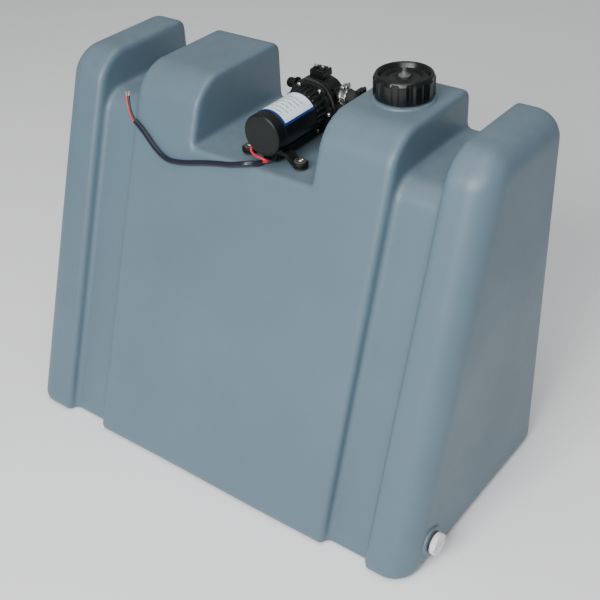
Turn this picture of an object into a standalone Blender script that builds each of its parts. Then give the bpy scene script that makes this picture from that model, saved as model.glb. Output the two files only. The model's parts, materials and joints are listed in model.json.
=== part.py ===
"""An upright moulded water tank that carries its own 12 volt pump.

Metres, +Z up. The origin is the centre of the tank's flat underside. +X runs along the
tank's width, -Y is the sloping front and +Y the upright back.
"""
from math import cos, pi, radians, sin, sqrt

import bmesh
import bpy
from mathutils import Matrix, Vector

# ---------------------------------------------------------------- driving dimensions

# Gaps
TOUCH_GAP = 0.0003            # between pieces that touch
RUNNING_GAP = 0.0006          # between a turning or sliding piece and what carries it

# Tank, outside
TANK_WIDTH = 0.630
TANK_HEIGHT = 0.480
BASE_DEPTH = 0.325
TOP_DEPTH = 0.155
TANK_WALL = 0.005
LEFT_BLOCK = 0.067            # block outside the left strap groove
LEFT_GROOVE = 0.064
RIGHT_BLOCK = 0.058
RIGHT_GROOVE = 0.060
TOWER = 0.100                 # each tower beside the pump notch
GROOVE_DEPTH = 0.014          # of a strap groove, into the sloping front
GROOVE_DROP = 0.050           # of a strap groove, below the top
NOTCH_DROP = 0.0765           # of the pump notch, below the top
FRONT_TOP_ROUND = 0.028
END_ROUND = 0.030
BACK_ROUND = 0.013
BASE_ROUND = 0.012
STEP_ROUND = 0.0075           # on the edges of the grooves and the notch

# Filler neck and cap
NECK_INSET_X = 0.0495         # neck axis from the right tower's notch wall
NECK_INSET_Y = 0.066          # neck axis from the back
NECK_BORE = 0.0240
NECK_WALL = 0.0035
NECK_RISE = 0.0200            # above the tower's top
COLLAR_SHOW = 0.0035           # of the collar, outside the cap's skirt
COLLAR_RISE = 0.0022
CAP_SKIRT = 0.0049             # thickness of the skirt, at the foot of the grip lugs
CAP_HEIGHT = 0.0270
CAP_WALL = 0.0030
CAP_DISH = 0.0065             # how far the cap's centre sits below its rim
CAP_LUGS = 12
LUG_RISE = 0.0016
CAP_SEAL_THICK = 0.0025
THREAD_ROOM = 0.0016          # radial room for the thread between neck and cap
NIPPLE_RADIUS = 0.0070
NIPPLE_RISE = 0.0105
NIPPLE_BORE = 0.0011
BREATHER_BORE = 0.0060        # through the cap's centre
BREATHER_LIFT = 0.0020

# Drain
DRAIN_FROM_BASE = 0.032
DRAIN_FROM_FRONT = 0.063
DRAIN_BORE = 0.0105
DRAIN_BOSS = 0.0195
DRAIN_BOSS_RISE = 0.0025
BUNG_HEAD = 0.0140
BUNG_HEAD_THICK = 0.0070
BUNG_SHANK = 0.0150
BUNG_SEAL_THICK = 0.0022

# Pump, along its axis, which is parallel to Y
PUMP_FROM_NOTCH = 0.1055      # pump axis from the notch's left wall
PUMP_SETBACK = 0.0081         # pump's front behind the notch floor's front edge
AXIS_RISE = 0.0410            # pump axis above the notch floor
MOTOR_RADIUS = 0.0256
CAN_WALL = 0.0014
END_CAP_LENGTH = 0.0140
CAN_LENGTH = 0.0602
CRANKCASE_LENGTH = 0.0237
CRANKCASE_WALL = 0.0030
FLANGE_LIP = 0.0035            # of the flange, outside the circle of its screws
FLANGE_THICK = 0.0060
RIB_COUNT = 24
RIB_RISE = 0.0016
DIAPHRAGM_THICK = 0.0012
VALVE_PLATE_THICK = 0.0050
HEAD_LENGTH = 0.0310
CHAMBER_WALL = 0.0012         # each side of the web between the head's two chambers
CHAMBER_WIDTH = 0.0210
CHAMBER_HALF_HEIGHT = 0.0160
HEAD_WALL = 0.0045
HEAD_SCREWS = 6
HEAD_SCREW_ROOM = 0.0002       # between a screw's head and the crankcase's ribs
HEAD_SCREW_RADIUS = 0.0015
HEAD_SCREW_HEAD = 0.0026
HEAD_SCREW_GRIP = 0.0140
FIRST_SCREW = 55.0            # degrees up from +X
PORT_RISE = 0.0150            # port axis above the pump axis
PORT_SETBACK = 0.0080         # port axis behind the head's front face
PORT_BORE = 0.0045
BARB_FLANGE = 0.0085
BARB_FLANGE_THICK = 0.0020
BARB_LENGTH = 0.0115
SHAFT_RADIUS = 0.0016
BEARING_RADIUS = 0.0050
BEARING_WIDTH = 0.0040
MAGNET_THICK = 0.0045
AIR_GAP = 0.0008
ARMATURE_LENGTH = 0.0280
COMMUTATOR_RADIUS = 0.0060
COMMUTATOR_LENGTH = 0.0080
CAM_RADIUS = 0.0085
CAM_THROW = 0.0018
CAM_LENGTH = 0.0060
WOBBLE_RADIUS = 0.0165
WOBBLE_THICK = 0.0025
WOBBLE_HUB = 0.0040
WOBBLE_HUB_RISE = 0.0010
VALVE_RADIUS = 0.0060
VALVE_THICK = 0.0010
VALVE_LIFT = 0.0008
VALVE_PORT = 0.0038
VALVE_X = 0.0110              # valve centres each side of the pump axis
PISTON_OFFSET = 0.0100
PISTON_RADIUS = 0.0055
PISTON_HEIGHT = 0.0022

# Pump feet
FOOT_SPACING_X = 0.0760
FOOT_SPACING_Y = 0.0750
FOOT_SETBACK = 0.0225         # front feet behind the pump's front
FOOT_RADIUS = 0.0095
FOOT_THICK = 0.0045
GROMMET_RADIUS = 0.0075
GROMMET_WAIST = 0.0050
GROMMET_BORE = 0.0024
GROMMET_HEIGHT = 0.0105
FOOT_SCREW_RADIUS = 0.0018
FOOT_SCREW_HEAD = 0.0045
FOOT_SCREW_LENGTH = 0.0190
BOSS_RADIUS = 0.0065           # of the blind boss under the notch floor that takes the screw
BOSS_DEPTH = 0.0140

# Suction line between the right tower and the pump
HOSE_BORE = 0.0068
HOSE_WALL = 0.0028
CLIP_WIDTH = 0.0100
CLIP_THICK = 0.0009
FITTING_FLANGE = 0.0140
FITTING_FLANGE_THICK = 0.0030
FITTING_SHANK = 0.0065
FITTING_REACH = 0.0080        # of the shank past the inside of the wall
ELBOW_RADIUS = 0.0100
ELBOW_DROP = 0.0180
PICKUP_FROM_WALL = 0.0125     # pickup tube's axis from the inside of the wall
PICKUP_RADIUS = 0.0060
PICKUP_WALL = 0.0012
PICKUP_CLEARANCE = 0.0100     # strainer's foot above the tank's floor

# Pressure switch
SWITCH_WIDTH = 0.0200
SWITCH_DEPTH = 0.0180
SWITCH_HEIGHT = 0.0070
SWITCH_WALL = 0.0016
TERMINAL_HEIGHT = 0.0050
PLUNGER_RADIUS = 0.0020
PLUNGER_TRAVEL = 0.0008

# Supply cable
SHEATH_RADIUS = 0.0032
CORE_RADIUS = 0.0013

# ---------------------------------------------------------------- places worked out

LEFT_END = -TANK_WIDTH / 2
RIGHT_END = TANK_WIDTH / 2
FRONT = -BASE_DEPTH / 2
BACK = BASE_DEPTH / 2
SLOPE = (BASE_DEPTH - TOP_DEPTH) / TANK_HEIGHT
LEFT_GROOVE_X = (LEFT_END + LEFT_BLOCK, LEFT_END + LEFT_BLOCK + LEFT_GROOVE)
RIGHT_GROOVE_X = (RIGHT_END - RIGHT_BLOCK - RIGHT_GROOVE, RIGHT_END - RIGHT_BLOCK)
NOTCH_X = (LEFT_GROOVE_X[1] + TOWER, RIGHT_GROOVE_X[0] - TOWER)
NOTCH_FLOOR = TANK_HEIGHT - NOTCH_DROP


def front_at(height):
    """Y of the sloping front at this height."""
    return FRONT + SLOPE * height


HEAD_SCREW_CIRCLE = MOTOR_RADIUS + RIB_RISE + HEAD_SCREW_HEAD + HEAD_SCREW_ROOM
FLANGE_RADIUS = HEAD_SCREW_CIRCLE + FLANGE_LIP
CAP_INSIDE = NECK_BORE + NECK_WALL + THREAD_ROOM
CAP_RADIUS = CAP_INSIDE + CAP_SKIRT
COLLAR_RADIUS = CAP_RADIUS + COLLAR_SHOW
NECK_X = NOTCH_X[1] + NECK_INSET_X
NECK_Y = BACK - NECK_INSET_Y
PUMP_X = NOTCH_X[0] + PUMP_FROM_NOTCH
PUMP_Z = NOTCH_FLOOR + AXIS_RISE
PUMP_FRONT = front_at(NOTCH_FLOOR) + PUMP_SETBACK
CAN_FRONT = PUMP_FRONT + END_CAP_LENGTH + TOUCH_GAP
CRANKCASE_FRONT = CAN_FRONT + CAN_LENGTH + TOUCH_GAP
DIAPHRAGM_FRONT = CRANKCASE_FRONT + CRANKCASE_LENGTH + TOUCH_GAP
VALVE_PLATE_FRONT = DIAPHRAGM_FRONT + DIAPHRAGM_THICK + TOUCH_GAP
HEAD_FRONT = VALVE_PLATE_FRONT + VALVE_PLATE_THICK + TOUCH_GAP
PORT_Y = HEAD_FRONT + PORT_SETBACK
PORT_Z = PUMP_Z + PORT_RISE

# ---------------------------------------------------------------- helpers

for old in list(bpy.data.objects):
    bpy.data.objects.remove(old, do_unlink=True)

TURN_TO = {
    "X": Matrix.Rotation(pi / 2, 4, "Y"),
    "-X": Matrix.Rotation(-pi / 2, 4, "Y"),
    "Y": Matrix.Rotation(-pi / 2, 4, "X"),
    "-Y": Matrix.Rotation(pi / 2, 4, "X"),
    "Z": Matrix.Identity(4),
}


def material(name, colour, roughness, metallic=0.0):
    """A Principled material, shared by every object that asks for the same name."""
    found = bpy.data.materials.get(name)
    if found:
        return found
    made = bpy.data.materials.new(name)
    made.use_nodes = True
    shader = made.node_tree.nodes["Principled BSDF"]
    shader.inputs["Base Color"].default_value = (*colour, 1.0)
    shader.inputs["Roughness"].default_value = roughness
    shader.inputs["Metallic"].default_value = metallic
    made.diffuse_color = (*colour, 1.0)
    return made


TANK_GREY = ("tank_polyethylene", (0.185, 0.235, 0.27), 0.5)
CAP_BLACK = ("cap_black", (0.012, 0.014, 0.014), 0.3)
NIPPLE_GREY = ("nipple_grey", (0.12, 0.12, 0.115), 0.5)
BUNG_WHITE = ("bung_white", (0.78, 0.79, 0.78), 0.45)
PUMP_BLACK = ("pump_black", (0.014, 0.016, 0.016), 0.4)
CAN_BLACK = ("can_paint", (0.013, 0.014, 0.015), 0.3, 0.3)
LABEL_WHITE = ("label_paper", (0.75, 0.8, 0.78), 0.4)
RUBBER = ("rubber", (0.03, 0.028, 0.025), 0.8)
STEEL = ("bright_steel", (0.55, 0.55, 0.53), 0.25, 1.0)
BRASS = ("brass", (0.5, 0.36, 0.12), 0.35, 1.0)
COPPER = ("copper", (0.6, 0.25, 0.12), 0.35, 1.0)
MAGNET_GREY = ("ferrite", (0.05, 0.05, 0.055), 0.6)
CARBON = ("carbon", (0.02, 0.02, 0.02), 0.5, 0.2)
NYLON = ("nylon_natural", (0.6, 0.58, 0.5), 0.5)
HOSE_BLACK = ("hose_black", (0.015, 0.015, 0.017), 0.55)
SHEATH_BLACK = ("cable_sheath", (0.012, 0.014, 0.024), 0.35)
CORE_RED = ("core_red", (0.55, 0.02, 0.03), 0.4)
CORE_BLACK = ("core_black", (0.01, 0.01, 0.012), 0.4)


def add_object(name, mesh, finish, origin=(0, 0, 0)):
    """Put a mesh in the scene under this name, with its material and its place."""
    made = bpy.data.objects.new(name, mesh)
    bpy.context.scene.collection.objects.link(made)
    made.location = origin
    if finish:
        mesh.materials.append(material(*finish))
    return made


def mesh_from(name, shape, facing="Z", smooth=True):
    """Turn a bmesh to face along an axis, point its faces outwards and make it a mesh."""
    bmesh.ops.remove_doubles(shape, verts=shape.verts, dist=1e-6)
    bmesh.ops.transform(shape, matrix=TURN_TO[facing], verts=shape.verts)
    bmesh.ops.recalc_face_normals(shape, faces=shape.faces)
    mesh = bpy.data.meshes.new(name)
    shape.to_mesh(mesh)
    shape.free()
    if smooth:
        mesh.shade_smooth()
        mesh.set_sharp_from_angle(angle=radians(35))
    return mesh


def turned(name, profile, finish, origin, facing="Z", steps=20):
    """A profile of (radius, height) points, closed on itself, spun round an axis."""
    shape = bmesh.new()
    points = [shape.verts.new((radius, 0, height)) for radius, height in profile]
    ends = points[1:] + points[:1]
    edges = [shape.edges.new(pair) for pair in zip(points, ends) if on_surface(*pair)]
    bmesh.ops.spin(shape, geom=points + edges, axis=(0, 0, 1), cent=(0, 0, 0),
                   angle=2 * pi, steps=steps, use_merge=True)
    return add_object(name, mesh_from(name, shape, facing), finish, origin)


def on_surface(start, end):
    """An edge of a profile that isn't along the axis of the turned shape."""
    return max(start.co.x, end.co.x) > 1e-7


def disc(name, radius, low, high, finish, origin, facing="Z", steps=20, bore=0.0):
    """A plain round disc or rod from low to high along its axis, with a bore if one is given."""
    profile = [(bore, high), (radius, high), (radius, low), (bore, low)]
    return turned(name, profile, finish, origin, facing, steps)


def prism(name, outline, low, high, finish, origin, facing="Z", smooth=False):
    """An outline of (x, y) points, drawn anticlockwise, extruded from low to high."""
    shape = bmesh.new()
    face = shape.faces.new([shape.verts.new((x, y, low)) for x, y in outline])
    grown = bmesh.ops.extrude_face_region(shape, geom=[face])["geom"]
    lifted = [item for item in grown if isinstance(item, bmesh.types.BMVert)]
    bmesh.ops.translate(shape, verts=lifted, vec=(0, 0, high - low))
    return add_object(name, mesh_from(name, shape, facing, smooth), finish, origin)


def block(name, lowest, highest, finish, origin=(0, 0, 0)):
    """A plain box between two corners."""
    outline = [(lowest[0], lowest[1]), (highest[0], lowest[1]),
               (highest[0], highest[1]), (lowest[0], highest[1])]
    return prism(name, outline, lowest[2], highest[2], finish, origin)


def helper(shape):
    """Keep an object out of the finished part."""
    shape.hide_render = True
    shape.display_type = "WIRE"
    return shape


def boolean(target, other, operation="DIFFERENCE"):
    """Cut a helper from the target, or join it on."""
    step = target.modifiers.new(other.name, "BOOLEAN")
    step.operation = operation
    step.object = helper(other)


def weld(target):
    """Close the hairline slivers that a row of Booleans leaves."""
    step = target.modifiers.new("weld", "WELD")
    step.merge_threshold = TOUCH_GAP / 15


def bevel(target, width, segments=2, angle=40):
    """Round the edges of the target that are sharper than the angle."""
    step = target.modifiers.new("edges", "BEVEL")
    step.width = width
    step.segments = segments
    step.limit_method = "ANGLE"
    step.angle_limit = radians(angle)


# ---------------------------------------------------------------- tank

def tank_block(name, inset):
    """The tank's plain tapered block, drawn in by the inset, with its long edges rounded."""
    slant = inset * sqrt(1 + SLOPE * SLOPE)
    corners = [(front_at(inset) + slant, inset), (BACK - inset, inset),
               (BACK - inset, TANK_HEIGHT - inset),
               (front_at(TANK_HEIGHT - inset) + slant, TANK_HEIGHT - inset)]
    shape = bmesh.new()
    ends = []
    for x in (LEFT_END + inset, RIGHT_END - inset):
        ends.append([shape.verts.new((x, y, z)) for y, z in corners])
    shape.faces.new(ends[0][::-1])
    shape.faces.new(ends[1])
    for index in range(4):
        after = (index + 1) % 4
        shape.faces.new([ends[0][index], ends[0][after], ends[1][after], ends[1][index]])
    weights = shape.edges.layers.float.new("bevel_weight_edge")
    for edge in shape.edges:
        middle = (edge.verts[0].co + edge.verts[1].co) / 2
        if abs(middle.x) < TANK_WIDTH / 4:
            if middle.z < TANK_HEIGHT / 2:
                size = BASE_ROUND
            else:
                size = FRONT_TOP_ROUND if middle.y < TANK_HEIGHT / 6 else BACK_ROUND
        elif abs(middle.y - (BACK - inset)) < inset + TOUCH_GAP:
            size = BACK_ROUND
        elif middle.z < inset + TOUCH_GAP:
            size = BASE_ROUND
        else:
            size = END_ROUND
        edge[weights] = size / END_ROUND
    tank = add_object(name, mesh_from(name, shape, smooth=True), TANK_GREY)
    rounding = tank.modifiers.new("long edges", "BEVEL")
    rounding.width = END_ROUND
    rounding.segments = 4
    rounding.limit_method = "WEIGHT"
    return tank


def groove_cut(name, span, inset):
    """A strap groove: shallow down the sloping front, deep across the top."""
    past = TANK_WALL * 4
    deep = GROOVE_DEPTH + inset
    top_floor = TANK_HEIGHT - GROOVE_DROP - inset
    outline = [(front_at(-past) - past, -past), (front_at(-past) + deep, -past),
               (front_at(top_floor) + deep, top_floor), (BACK + past, top_floor),
               (BACK + past, TANK_HEIGHT + past), (front_at(top_floor) - past, TANK_HEIGHT + past)]
    return across(name, outline, span, inset)


def across(name, outline, span, inset):
    """A (y, z) outline extruded along X over a span that the inset widens at both ends."""
    shape = bmesh.new()
    low, high = span[0] - inset, span[1] + inset
    face = shape.faces.new([shape.verts.new((low, y, z)) for y, z in outline])
    grown = bmesh.ops.extrude_face_region(shape, geom=[face])["geom"]
    lifted = [item for item in grown if isinstance(item, bmesh.types.BMVert)]
    bmesh.ops.translate(shape, verts=lifted, vec=(high - low, 0, 0))
    return add_object(name, mesh_from(name, shape, smooth=False), None)


def notch_cut(name, inset):
    """The pump notch: open at the front, the top and the back."""
    past = TANK_WALL * 4
    floor = NOTCH_FLOOR - inset
    outline = [(FRONT - past, floor), (BACK + past, floor),
               (BACK + past, TANK_HEIGHT + past), (FRONT - past, TANK_HEIGHT + past)]
    return across(name, outline, NOTCH_X, inset)


def carved_block(name, inset):
    """The tapered block with both strap grooves and the pump notch cut from it."""
    tank = tank_block(name, inset)
    boolean(tank, groove_cut(name + "_left_cut", LEFT_GROOVE_X, inset))
    boolean(tank, groove_cut(name + "_right_cut", RIGHT_GROOVE_X, inset))
    boolean(tank, notch_cut(name + "_notch_cut", inset))
    return tank


def plain_disc(name, radius, low, high, origin, facing="Z", steps=24):
    """A helper cylinder, to cut or to join on."""
    return disc(name, radius, low, high, None, origin, facing, steps)


NECK_AT = (NECK_X, NECK_Y, TANK_HEIGHT)
DRAIN_AT = (RIGHT_END, front_at(DRAIN_FROM_BASE) + DRAIN_FROM_FRONT - SLOPE * DRAIN_FROM_BASE,
            DRAIN_FROM_BASE)
FITTING_AT = (NOTCH_X[1], PORT_Y, PORT_Z)
FITTING_HOLE = FITTING_SHANK + TOUCH_GAP
GRIP = TANK_WALL * 2          # how far a joined piece reaches into the wall before it is bored

tank_shell = carved_block("tank_shell", 0.0)
bevel(tank_shell, STEP_ROUND)
weld(tank_shell)
boolean(tank_shell, plain_disc("collar_add", COLLAR_RADIUS, -TANK_WALL / 2, COLLAR_RISE, NECK_AT),
        "UNION")
boolean(tank_shell, plain_disc("neck_add", NECK_BORE + NECK_WALL, -TANK_WALL / 2, NECK_RISE,
                               NECK_AT), "UNION")
boolean(tank_shell, plain_disc("drain_boss_add", DRAIN_BOSS, -TANK_WALL / 2, DRAIN_BOSS_RISE,
                               DRAIN_AT, "X", 24), "UNION")
boolean(tank_shell, carved_block("cavity_cut", TANK_WALL))
boolean(tank_shell, plain_disc("neck_cut", NECK_BORE, -GRIP, NECK_RISE + GRIP, NECK_AT,
                               steps=28))
boolean(tank_shell, plain_disc("drain_cut", DRAIN_BORE, -GRIP, GRIP, DRAIN_AT, "X", 20))
boolean(tank_shell, plain_disc("fitting_cut", FITTING_HOLE, -GRIP, GRIP, FITTING_AT, "X", 24))

# ---------------------------------------------------------------- filler cap

CAP_BASE = COLLAR_RISE + RUNNING_GAP + CAP_SEAL_THICK / 2
CAP_TOP = NECK_RISE + TOUCH_GAP * 2 + CAP_SEAL_THICK + CAP_WALL
CAP_RIM = max(CAP_TOP, CAP_BASE + CAP_HEIGHT)
CAP_AT = NECK_AT


def cap_profile():
    """Half section of the cap: skirt, rim, dished centre and the breather's bore."""
    under = CAP_TOP - CAP_WALL
    dish = CAP_RIM - CAP_DISH
    top = max(CAP_TOP, dish)
    return [(BREATHER_BORE, top), (CAP_RADIUS - 3 * CAP_WALL, top),
            (CAP_RADIUS - 2 * CAP_WALL, CAP_RIM), (CAP_RADIUS - CAP_WALL / 2, CAP_RIM),
            (CAP_RADIUS, CAP_RIM - CAP_WALL), (CAP_RADIUS, CAP_BASE),
            (CAP_INSIDE, CAP_BASE), (CAP_INSIDE, under), (BREATHER_BORE, under)]


filler_cap = turned("filler_cap", cap_profile(), CAP_BLACK, CAP_AT, steps=36)
for number in range(CAP_LUGS):
    turn = 2 * pi * number / CAP_LUGS
    lug_at = Vector(CAP_AT) + Vector((cos(turn), sin(turn), 0)) * (CAP_RADIUS - LUG_RISE)
    lug = plain_disc(f"lug_add_{number}", 2 * LUG_RISE, CAP_BASE + LUG_RISE / 2,
                     CAP_RIM - 1.5 * CAP_WALL, lug_at, steps=6)
    boolean(filler_cap, lug, "UNION")

CAP_SEAL_OUT = CAP_INSIDE - RUNNING_GAP
CAP_SEAL_IN = NECK_BORE - NECK_WALL
cap_seal = disc("cap_seal", CAP_SEAL_OUT, NECK_RISE + TOUCH_GAP,
                NECK_RISE + TOUCH_GAP + CAP_SEAL_THICK, RUBBER, CAP_AT, steps=32,
                bore=CAP_SEAL_IN)

NIPPLE_SEAT = max(CAP_TOP, CAP_RIM - CAP_DISH)
NIPPLE_SHANK = BREATHER_BORE - TOUCH_GAP
NIPPLE_ROOM = NIPPLE_SHANK - NIPPLE_BORE
BREATHER_THICK = NIPPLE_BORE
NIPPLE_FOOT = CAP_TOP - 2 * NIPPLE_BORE - BREATHER_THICK - BREATHER_LIFT - 2 * TOUCH_GAP
breather_nipple = turned(
    "breather_nipple",
    [(NIPPLE_BORE, NIPPLE_SEAT + NIPPLE_RISE), (2 * NIPPLE_BORE, NIPPLE_SEAT + NIPPLE_RISE),
     (2 * NIPPLE_BORE, NIPPLE_SEAT + NIPPLE_RISE / 2),
     (NIPPLE_RADIUS, NIPPLE_SEAT + NIPPLE_RISE / 5), (NIPPLE_RADIUS, NIPPLE_SEAT + TOUCH_GAP),
     (NIPPLE_SHANK, NIPPLE_SEAT + TOUCH_GAP), (NIPPLE_SHANK, NIPPLE_FOOT),
     (NIPPLE_ROOM - NIPPLE_BORE, NIPPLE_FOOT),
     (NIPPLE_ROOM - NIPPLE_BORE, NIPPLE_FOOT + NIPPLE_BORE),
     (NIPPLE_ROOM, NIPPLE_FOOT + NIPPLE_BORE), (NIPPLE_ROOM, CAP_TOP - NIPPLE_BORE),
     (NIPPLE_BORE, CAP_TOP - NIPPLE_BORE)],
    NIPPLE_GREY, CAP_AT, steps=16)

BREATHER_LOW = NIPPLE_FOOT + NIPPLE_BORE + TOUCH_GAP
breather_disc = disc("breather_disc", NIPPLE_ROOM - TOUCH_GAP, BREATHER_LOW,
                     BREATHER_LOW + BREATHER_THICK, RUBBER, CAP_AT, steps=12)

# ---------------------------------------------------------------- drain bung

BUNG_SHANK_RADIUS = DRAIN_BORE - RUNNING_GAP
BUNG_UNDER = DRAIN_BOSS_RISE + 2 * TOUCH_GAP + BUNG_SEAL_THICK
SLOT_HALF = BUNG_HEAD_THICK / 5

drain_bung = turned(
    "drain_bung",
    [(0, BUNG_UNDER + BUNG_HEAD_THICK),
     (BUNG_HEAD - SLOT_HALF, BUNG_UNDER + BUNG_HEAD_THICK),
     (BUNG_HEAD, BUNG_UNDER + BUNG_HEAD_THICK - SLOT_HALF), (BUNG_HEAD, BUNG_UNDER),
     (BUNG_SHANK_RADIUS, BUNG_UNDER), (BUNG_SHANK_RADIUS, BUNG_UNDER - BUNG_SHANK),
     (0, BUNG_UNDER - BUNG_SHANK)], BUNG_WHITE, DRAIN_AT, "X", 24)
slot_x = DRAIN_AT[0] + BUNG_UNDER + BUNG_HEAD_THICK
boolean(drain_bung, block(
    "bung_slot_cut",
    (slot_x - 2 * SLOT_HALF, DRAIN_AT[1] - BUNG_HEAD * 1.5, DRAIN_AT[2] - SLOT_HALF),
    (slot_x + SLOT_HALF, DRAIN_AT[1] + BUNG_HEAD * 1.5, DRAIN_AT[2] + SLOT_HALF), None))

bung_seal = disc("bung_seal", BUNG_HEAD - RUNNING_GAP, DRAIN_BOSS_RISE + TOUCH_GAP,
                 DRAIN_BOSS_RISE + TOUCH_GAP + BUNG_SEAL_THICK, RUBBER, DRAIN_AT, "X", 24,
                 BUNG_SHANK_RADIUS + RUNNING_GAP)

# ---------------------------------------------------------------- motor

AXIS_AT = (PUMP_X, 0.0, PUMP_Z)
CAN_INSIDE = MOTOR_RADIUS - CAN_WALL
CAN_BACK = CAN_FRONT + CAN_LENGTH
CAP_BACK = CAN_FRONT - TOUCH_GAP
BEARING_BORE = SHAFT_RADIUS + RUNNING_GAP / 2
POCKET = BEARING_RADIUS + TOUCH_GAP

COMMUTATOR_FRONT = CAP_BACK + BEARING_WIDTH
BRUSH_HALF = COMMUTATOR_LENGTH / 4
BRUSH_MIDDLE = COMMUTATOR_FRONT + COMMUTATOR_LENGTH / 2
HOLDER_IN = COMMUTATOR_RADIUS + 3 * BRUSH_HALF
SPIGOT = CAN_INSIDE - TOUCH_GAP

# The end cap holds the front bearing in its middle and the brushes in its spigot.
motor_end_cap = turned(
    "motor_end_cap",
    [(0, CAP_BACK - 2 * BEARING_WIDTH), (POCKET, CAP_BACK - 2 * BEARING_WIDTH),
     (POCKET, CAP_BACK - BEARING_WIDTH / 2), (HOLDER_IN, CAP_BACK),
     (HOLDER_IN, BRUSH_MIDDLE + 2 * BRUSH_HALF), (SPIGOT, BRUSH_MIDDLE + 2 * BRUSH_HALF),
     (SPIGOT, CAP_BACK), (MOTOR_RADIUS, CAP_BACK),
     (MOTOR_RADIUS, PUMP_FRONT + CAN_WALL), (MOTOR_RADIUS - CAN_WALL, PUMP_FRONT),
     (0, PUMP_FRONT)][::-1], PUMP_BLACK, AXIS_AT, "Y", 24)
boolean(motor_end_cap, block(
    "brush_slot_cut",
    (-HOLDER_IN - BRUSH_HALF - TOUCH_GAP, BRUSH_MIDDLE - BRUSH_HALF - TOUCH_GAP,
     -BRUSH_HALF - TOUCH_GAP),
    (HOLDER_IN + BRUSH_HALF + TOUCH_GAP, BRUSH_MIDDLE + BRUSH_HALF + TOUCH_GAP,
     BRUSH_HALF + TOUCH_GAP), None, AXIS_AT))

motor_can = turned(
    "motor_can",
    [(CAN_INSIDE, CAN_FRONT), (MOTOR_RADIUS, CAN_FRONT), (MOTOR_RADIUS, CAN_BACK),
     (POCKET + CAN_WALL, CAN_BACK), (POCKET + CAN_WALL, CAN_BACK + BEARING_WIDTH),
     (SHAFT_RADIUS + 4 * RUNNING_GAP, CAN_BACK + BEARING_WIDTH),
     (SHAFT_RADIUS + 4 * RUNNING_GAP, CAN_BACK + BEARING_WIDTH - CAN_WALL / 2),
     (POCKET, CAN_BACK + BEARING_WIDTH - CAN_WALL / 2), (POCKET, CAN_BACK - CAN_WALL),
     (CAN_INSIDE, CAN_BACK - CAN_WALL)], CAN_BLACK, AXIS_AT, "Y", 24)

FRONT_BEARING_Y = CAP_BACK - 2 * BEARING_WIDTH + TOUCH_GAP
REAR_BEARING_Y = CAN_BACK + BEARING_WIDTH - CAN_WALL / 2 - TOUCH_GAP - BEARING_WIDTH
front_bearing = disc("front_bearing", BEARING_RADIUS, FRONT_BEARING_Y + TOUCH_GAP,
                     FRONT_BEARING_Y + BEARING_WIDTH, BRASS, AXIS_AT, "Y", 12, BEARING_BORE)
rear_bearing = disc("rear_bearing", BEARING_RADIUS, REAR_BEARING_Y,
                    REAR_BEARING_Y + BEARING_WIDTH, BRASS, AXIS_AT, "Y", 12, BEARING_BORE)

MAGNET_OUT = CAN_INSIDE - TOUCH_GAP
MAGNET_IN = MAGNET_OUT - MAGNET_THICK
ARMATURE_RADIUS = MAGNET_IN - AIR_GAP
ARMATURE_BACK = CAN_BACK - CAN_WALL - 2 * BEARING_WIDTH
ARMATURE_FRONT = ARMATURE_BACK - ARMATURE_LENGTH


def arc_block(name, inner, outer, middle, spread, low, high, finish, steps=8):
    """A curved plate round the pump's axis: from radius to radius, spread about an angle."""
    turns = [radians(middle - spread + 2 * spread * step / steps) for step in range(steps + 1)]
    outline = [(outer * cos(turn), -outer * sin(turn)) for turn in turns]
    outline += [(inner * cos(turn), -inner * sin(turn)) for turn in turns[::-1]]
    return prism(name, outline, low, high, finish, AXIS_AT, "Y", True)


for side, middle in (("left", 180), ("right", 0)):
    arc_block(f"magnet_{side}", MAGNET_IN, MAGNET_OUT, middle, 62, ARMATURE_FRONT,
              ARMATURE_BACK, MAGNET_GREY)

CRANK_MIDDLE = CRANKCASE_FRONT + CRANKCASE_LENGTH * 0.55
SHAFT_BACK = CRANK_MIDDLE + CAM_LENGTH / 2
motor_shaft = disc("motor_shaft", SHAFT_RADIUS, FRONT_BEARING_Y + 2 * TOUCH_GAP, SHAFT_BACK,
                   STEEL, AXIS_AT, "Y", 12)
armature = disc("armature", ARMATURE_RADIUS, ARMATURE_FRONT, ARMATURE_BACK, MAGNET_GREY, AXIS_AT,
                "Y", 24, SHAFT_RADIUS + TOUCH_GAP)
commutator = disc("commutator", COMMUTATOR_RADIUS, COMMUTATOR_FRONT,
                  COMMUTATOR_FRONT + COMMUTATOR_LENGTH, COPPER, AXIS_AT, "Y", 16,
                  SHAFT_RADIUS + TOUCH_GAP)

for side, way in (("left", -1), ("right", 1)):
    reach = sorted((way * (COMMUTATOR_RADIUS + TOUCH_GAP), way * (HOLDER_IN + BRUSH_HALF)))
    block(f"brush_{side}", (reach[0], BRUSH_MIDDLE - BRUSH_HALF, -BRUSH_HALF),
          (reach[1], BRUSH_MIDDLE + BRUSH_HALF, BRUSH_HALF), CARBON, AXIS_AT)

LABEL_IN = MOTOR_RADIUS + TOUCH_GAP
motor_label = arc_block("motor_label", LABEL_IN, LABEL_IN + TOUCH_GAP, 92, 66,
                        CAN_FRONT + CAN_WALL, CAN_BACK - CAN_WALL, LABEL_WHITE, 16)

# ---------------------------------------------------------------- crankcase and drive

CRANKCASE_BACK = CRANKCASE_FRONT + CRANKCASE_LENGTH
CRANKCASE_INSIDE = MOTOR_RADIUS - CRANKCASE_WALL
VALVE_PLATE_BACK = VALVE_PLATE_FRONT + VALVE_PLATE_THICK
HEAD_BACK = HEAD_FRONT + HEAD_LENGTH
FLANGE_FRONT = CRANKCASE_BACK - FLANGE_THICK


def around_axis(angle, radius, y=0.0):
    """A place round the pump's axis: degrees up from +X, and the distance from the axis."""
    return (PUMP_X + radius * cos(radians(angle)), y, PUMP_Z + radius * sin(radians(angle)))


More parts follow.
